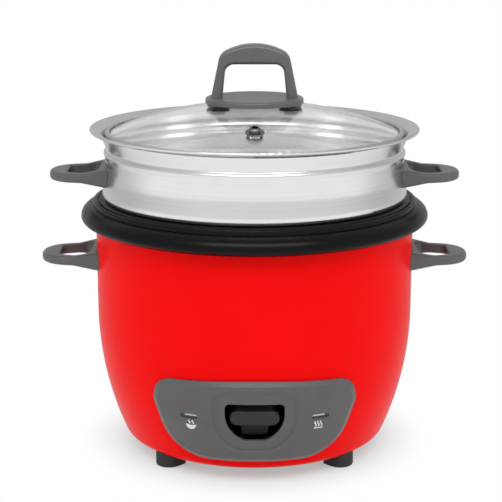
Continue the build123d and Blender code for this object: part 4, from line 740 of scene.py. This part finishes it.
# %% Camera at the photograph's place
PHOTO_WIDTH_PIXELS = 502
FOCAL_PIXELS = 1432
TILT_DOWN_DEGREES = 13.63
camera_data = bpy.data.cameras.new("camera")
camera_data.sensor_width = 36.0
camera_data.lens = FOCAL_PIXELS / PHOTO_WIDTH_PIXELS * camera_data.sensor_width
camera = bpy.data.objects.new("camera", camera_data)
camera.location = (-0.0021, -0.850, 0.3237)
camera.rotation_euler = (math.radians(90 - TILT_DOWN_DEGREES), 0, 0)
scene.collection.objects.link(camera)
scene.camera = camera
print("lens in mm:", round(camera_data.lens, 1))

# %% [markdown]
# ## What is only looked at
# A product picture stands on white. More light could make the floor white, but it would wash out the
# object as well. So floor and world get a look of their own for rays that only look, from the camera, off
# metal or through glass, and stay as they are for the rays that carry light. In bare metal that look
# darkens towards the back, as in a studio that is lit from the front, and so curved metal shows light and
# shade.

# %% Helpers for the floor and the world
def seen_directly(tree):
    """1 on camera, glossy and transmission rays, 0 on the rays that carry light."""
    path = add_node(tree, "ShaderNodeLightPath").outputs
    shine = {0: path["Is Glossy Ray"], 1: path["Is Transmission Ray"]}
    bent = add_node(tree, "ShaderNodeMath", shine, operation="ADD")
    seen = add_node(tree, "ShaderNodeMath", {0: path["Is Camera Ray"], 1: bent.outputs[0]}, operation="ADD")
    seen.use_clamp = True
    return seen.outputs[0]


def level_in_mirrors(tree, value, front, back, near, far):
    """1 to the camera and under glass. In bare mirrors, near where value is at front, and far at back."""
    fall = add_node(tree, "ShaderNodeMapRange", {"Value": value, "From Min": front, "From Max": back})
    set_inputs(fall, {"To Min": near, "To Max": far})
    path = add_node(tree, "ShaderNodeLightPath").outputs
    mirrored = path["Glossy Depth"]
    panes = path["Transmission Depth"]
    bare = add_node(tree, "ShaderNodeMath", {0: mirrored, 1: 1.0}, operation="LESS_THAN")
    glazed = add_node(tree, "ShaderNodeMath", {0: panes, 1: 0.5}, operation="GREATER_THAN")
    full = add_node(tree, "ShaderNodeMath", {0: bare.outputs[0], 1: glazed.outputs[0]}, operation="MAXIMUM")
    level = add_node(tree, "ShaderNodeMath", {0: fall.outputs[0], 1: full.outputs[0]}, operation="MAXIMUM")
    return level.outputs[0]


print("finishes on the solids:", len({node.data.materials[0].name for node in nodes.values()}))

# %% [markdown]
# ## Floor
# The floor is plain pale paint that takes the object's soft shadow. A picture's white edge could be cut
# out afterwards, but here the floor's own glow does it: it grows to plain white a hand's width from the
# middle. The red shell lights the floor beside it pink, and a studio would balance that away, so the
# paint that the camera sees is a little blue-green. From below the floor is clear, so that the base can
# be looked at.

# %% White floor with a soft shadow
FLOOR_Z = -0.0002
FLOOR_HALF = 6.0


def white_floor():
    """Pale paint with the shadow near the object, and plain white to the eye farther out."""
    material = bpy.data.materials.new("white_floor")
    material.use_nodes = True
    tree = material.node_tree
    tree.nodes.clear()
    place = add_node(tree, "ShaderNodeTexCoord").outputs["Object"]
    away = add_node(tree, "ShaderNodeVectorMath", {0: place}, operation="LENGTH").outputs["Value"]
    glow = add_node(tree, "ShaderNodeMapRange", {"Value": away}, interpolation_type="SMOOTHSTEP")
    set_inputs(glow, {"From Min": 0.06, "From Max": 0.113, "To Min": 0.36, "To Max": 1.0})
    looks = {0: glow.outputs["Result"], 1: seen_directly(tree)}
    share = add_node(tree, "ShaderNodeMath", looks, operation="MULTIPLY")
    camera_ray = add_node(tree, "ShaderNodeLightPath").outputs["Is Camera Ray"]
    balance = add_node(tree, "ShaderNodeMix", {"Factor": camera_ray}, data_type="RGBA")
    set_inputs(balance, {"A": linear("F0F0F0"), "B": linear("CCEAEA")})
    paint = add_node(tree, "ShaderNodeBsdfDiffuse", {"Color": balance.outputs["Result"]})
    depth = add_node(tree, "ShaderNodeSeparateXYZ", {"Vector": place}).outputs["Y"]
    level = level_in_mirrors(tree, depth, front=-0.2, back=0.3, near=1.0, far=0.6)
    own = add_node(tree, "ShaderNodeEmission", {"Strength": level})
    layers = {0: share.outputs[0], 1: paint.outputs[0], 2: own.outputs[0]}
    shown = add_node(tree, "ShaderNodeMixShader", layers)
    under = add_node(tree, "ShaderNodeNewGeometry").outputs["Backfacing"]
    clear = add_node(tree, "ShaderNodeBsdfTransparent")
    faces = {0: under, 1: shown.outputs[0], 2: clear.outputs[0]}
    one_way = add_node(tree, "ShaderNodeMixShader", faces)
    add_node(tree, "ShaderNodeOutputMaterial", {"Surface": one_way.outputs[0]})
    return material


corners = [(x * FLOOR_HALF, y * FLOOR_HALF, FLOOR_Z) for x, y in ((-1, -1), (1, -1), (1, 1), (-1, 1))]
floor_mesh = bpy.data.meshes.new("floor")
floor_mesh.from_pydata(corners, [], [(0, 1, 2, 3)])
floor_mesh.materials.append(white_floor())
floor = bpy.data.objects.new("floor", floor_mesh)
scene.collection.objects.link(floor)
print("floor in m:", 2 * FLOOR_HALF, "at mm:", 1000 * FLOOR_Z)

# %% [markdown]
# ## World
# The rest of the studio is white walls. They could be modelled as a room, but a world needs no faces and
# reaches all sides. Its light is low and even, which fills the shadows. To the eye it is plain white, and
# in bare metal it darkens from the front to the back, by the heading of the ray.

# %% White world
world = bpy.data.worlds.new("studio")
scene.world = world
world.use_nodes = True
world_tree = world.node_tree
world_tree.nodes.clear()
room = add_node(world_tree, "ShaderNodeBackground", {"Color": linear("FFFFFF"), "Strength": 0.40})
look = add_node(world_tree, "ShaderNodeTexCoord").outputs["Generated"]
heading = add_node(world_tree, "ShaderNodeSeparateXYZ", {"Vector": look}).outputs["Y"]
walls = level_in_mirrors(world_tree, heading, front=-0.6, back=0.3, near=0.75, far=0.5)
white = add_node(world_tree, "ShaderNodeBackground", {"Color": linear("FFFFFF"), "Strength": walls})
sides = {0: seen_directly(world_tree), 1: room.outputs[0], 2: white.outputs[0]}
sky = add_node(world_tree, "ShaderNodeMixShader", sides)
add_node(world_tree, "ShaderNodeOutputWorld", {"Surface": sky.outputs[0]})
print("world light:", room.inputs["Strength"].default_value)

# %% [markdown]
# ## Soft boxes
# A studio lights a shiny thing with large soft boxes, because a bare bulb is a hard spot in every curve.
# The world alone could light the scene, but then nothing has a clear shadow. The box in front gives the
# shapes their light and the metal a wide highlight. Those at the sides and above only brighten, and
# mirrors don't show them.

# %% Four area lamps
def soft_box(name, place, aim, width, height, watts, mirrored):
    """A rectangular area lamp that looks at a point."""
    lamp = bpy.data.lights.new(name, "AREA")
    lamp.shape = "RECTANGLE"
    lamp.size = width
    lamp.size_y = height
    lamp.energy = watts
    holder = bpy.data.objects.new(name, lamp)
    holder.location = place
    holder.rotation_euler = (Vector(aim) - Vector(place)).to_track_quat("-Z", "Y").to_euler()
    holder.visible_glossy = mirrored
    scene.collection.objects.link(holder)
    print(name, "watts:", watts)


MIDDLE = (0, 0, 0.12)
soft_box("front_box", (0.0, -1.1, 1.5), MIDDLE, width=1.8, height=0.6, watts=14.5, mirrored=True)
soft_box("left_box", (-1.3, -0.5, 0.6), MIDDLE, width=0.5, height=1.0, watts=4.5, mirrored=False)
soft_box("right_box", (1.3, -0.5, 0.6), MIDDLE, width=0.5, height=1.0, watts=4.5, mirrored=False)
soft_box("top_box", (0.0, 0.3, 1.5), (0, 0, 0.1), width=2.0, height=2.0, watts=9, mirrored=False)

# %% [markdown]
# ## Plain colours
# Blender's usual view transform softens bright colours as film does. That suits a landscape, but here a
# colour should come out as it is written, so the view is Standard.

# %% View and the end
scene.view_settings.view_transform = "Standard"
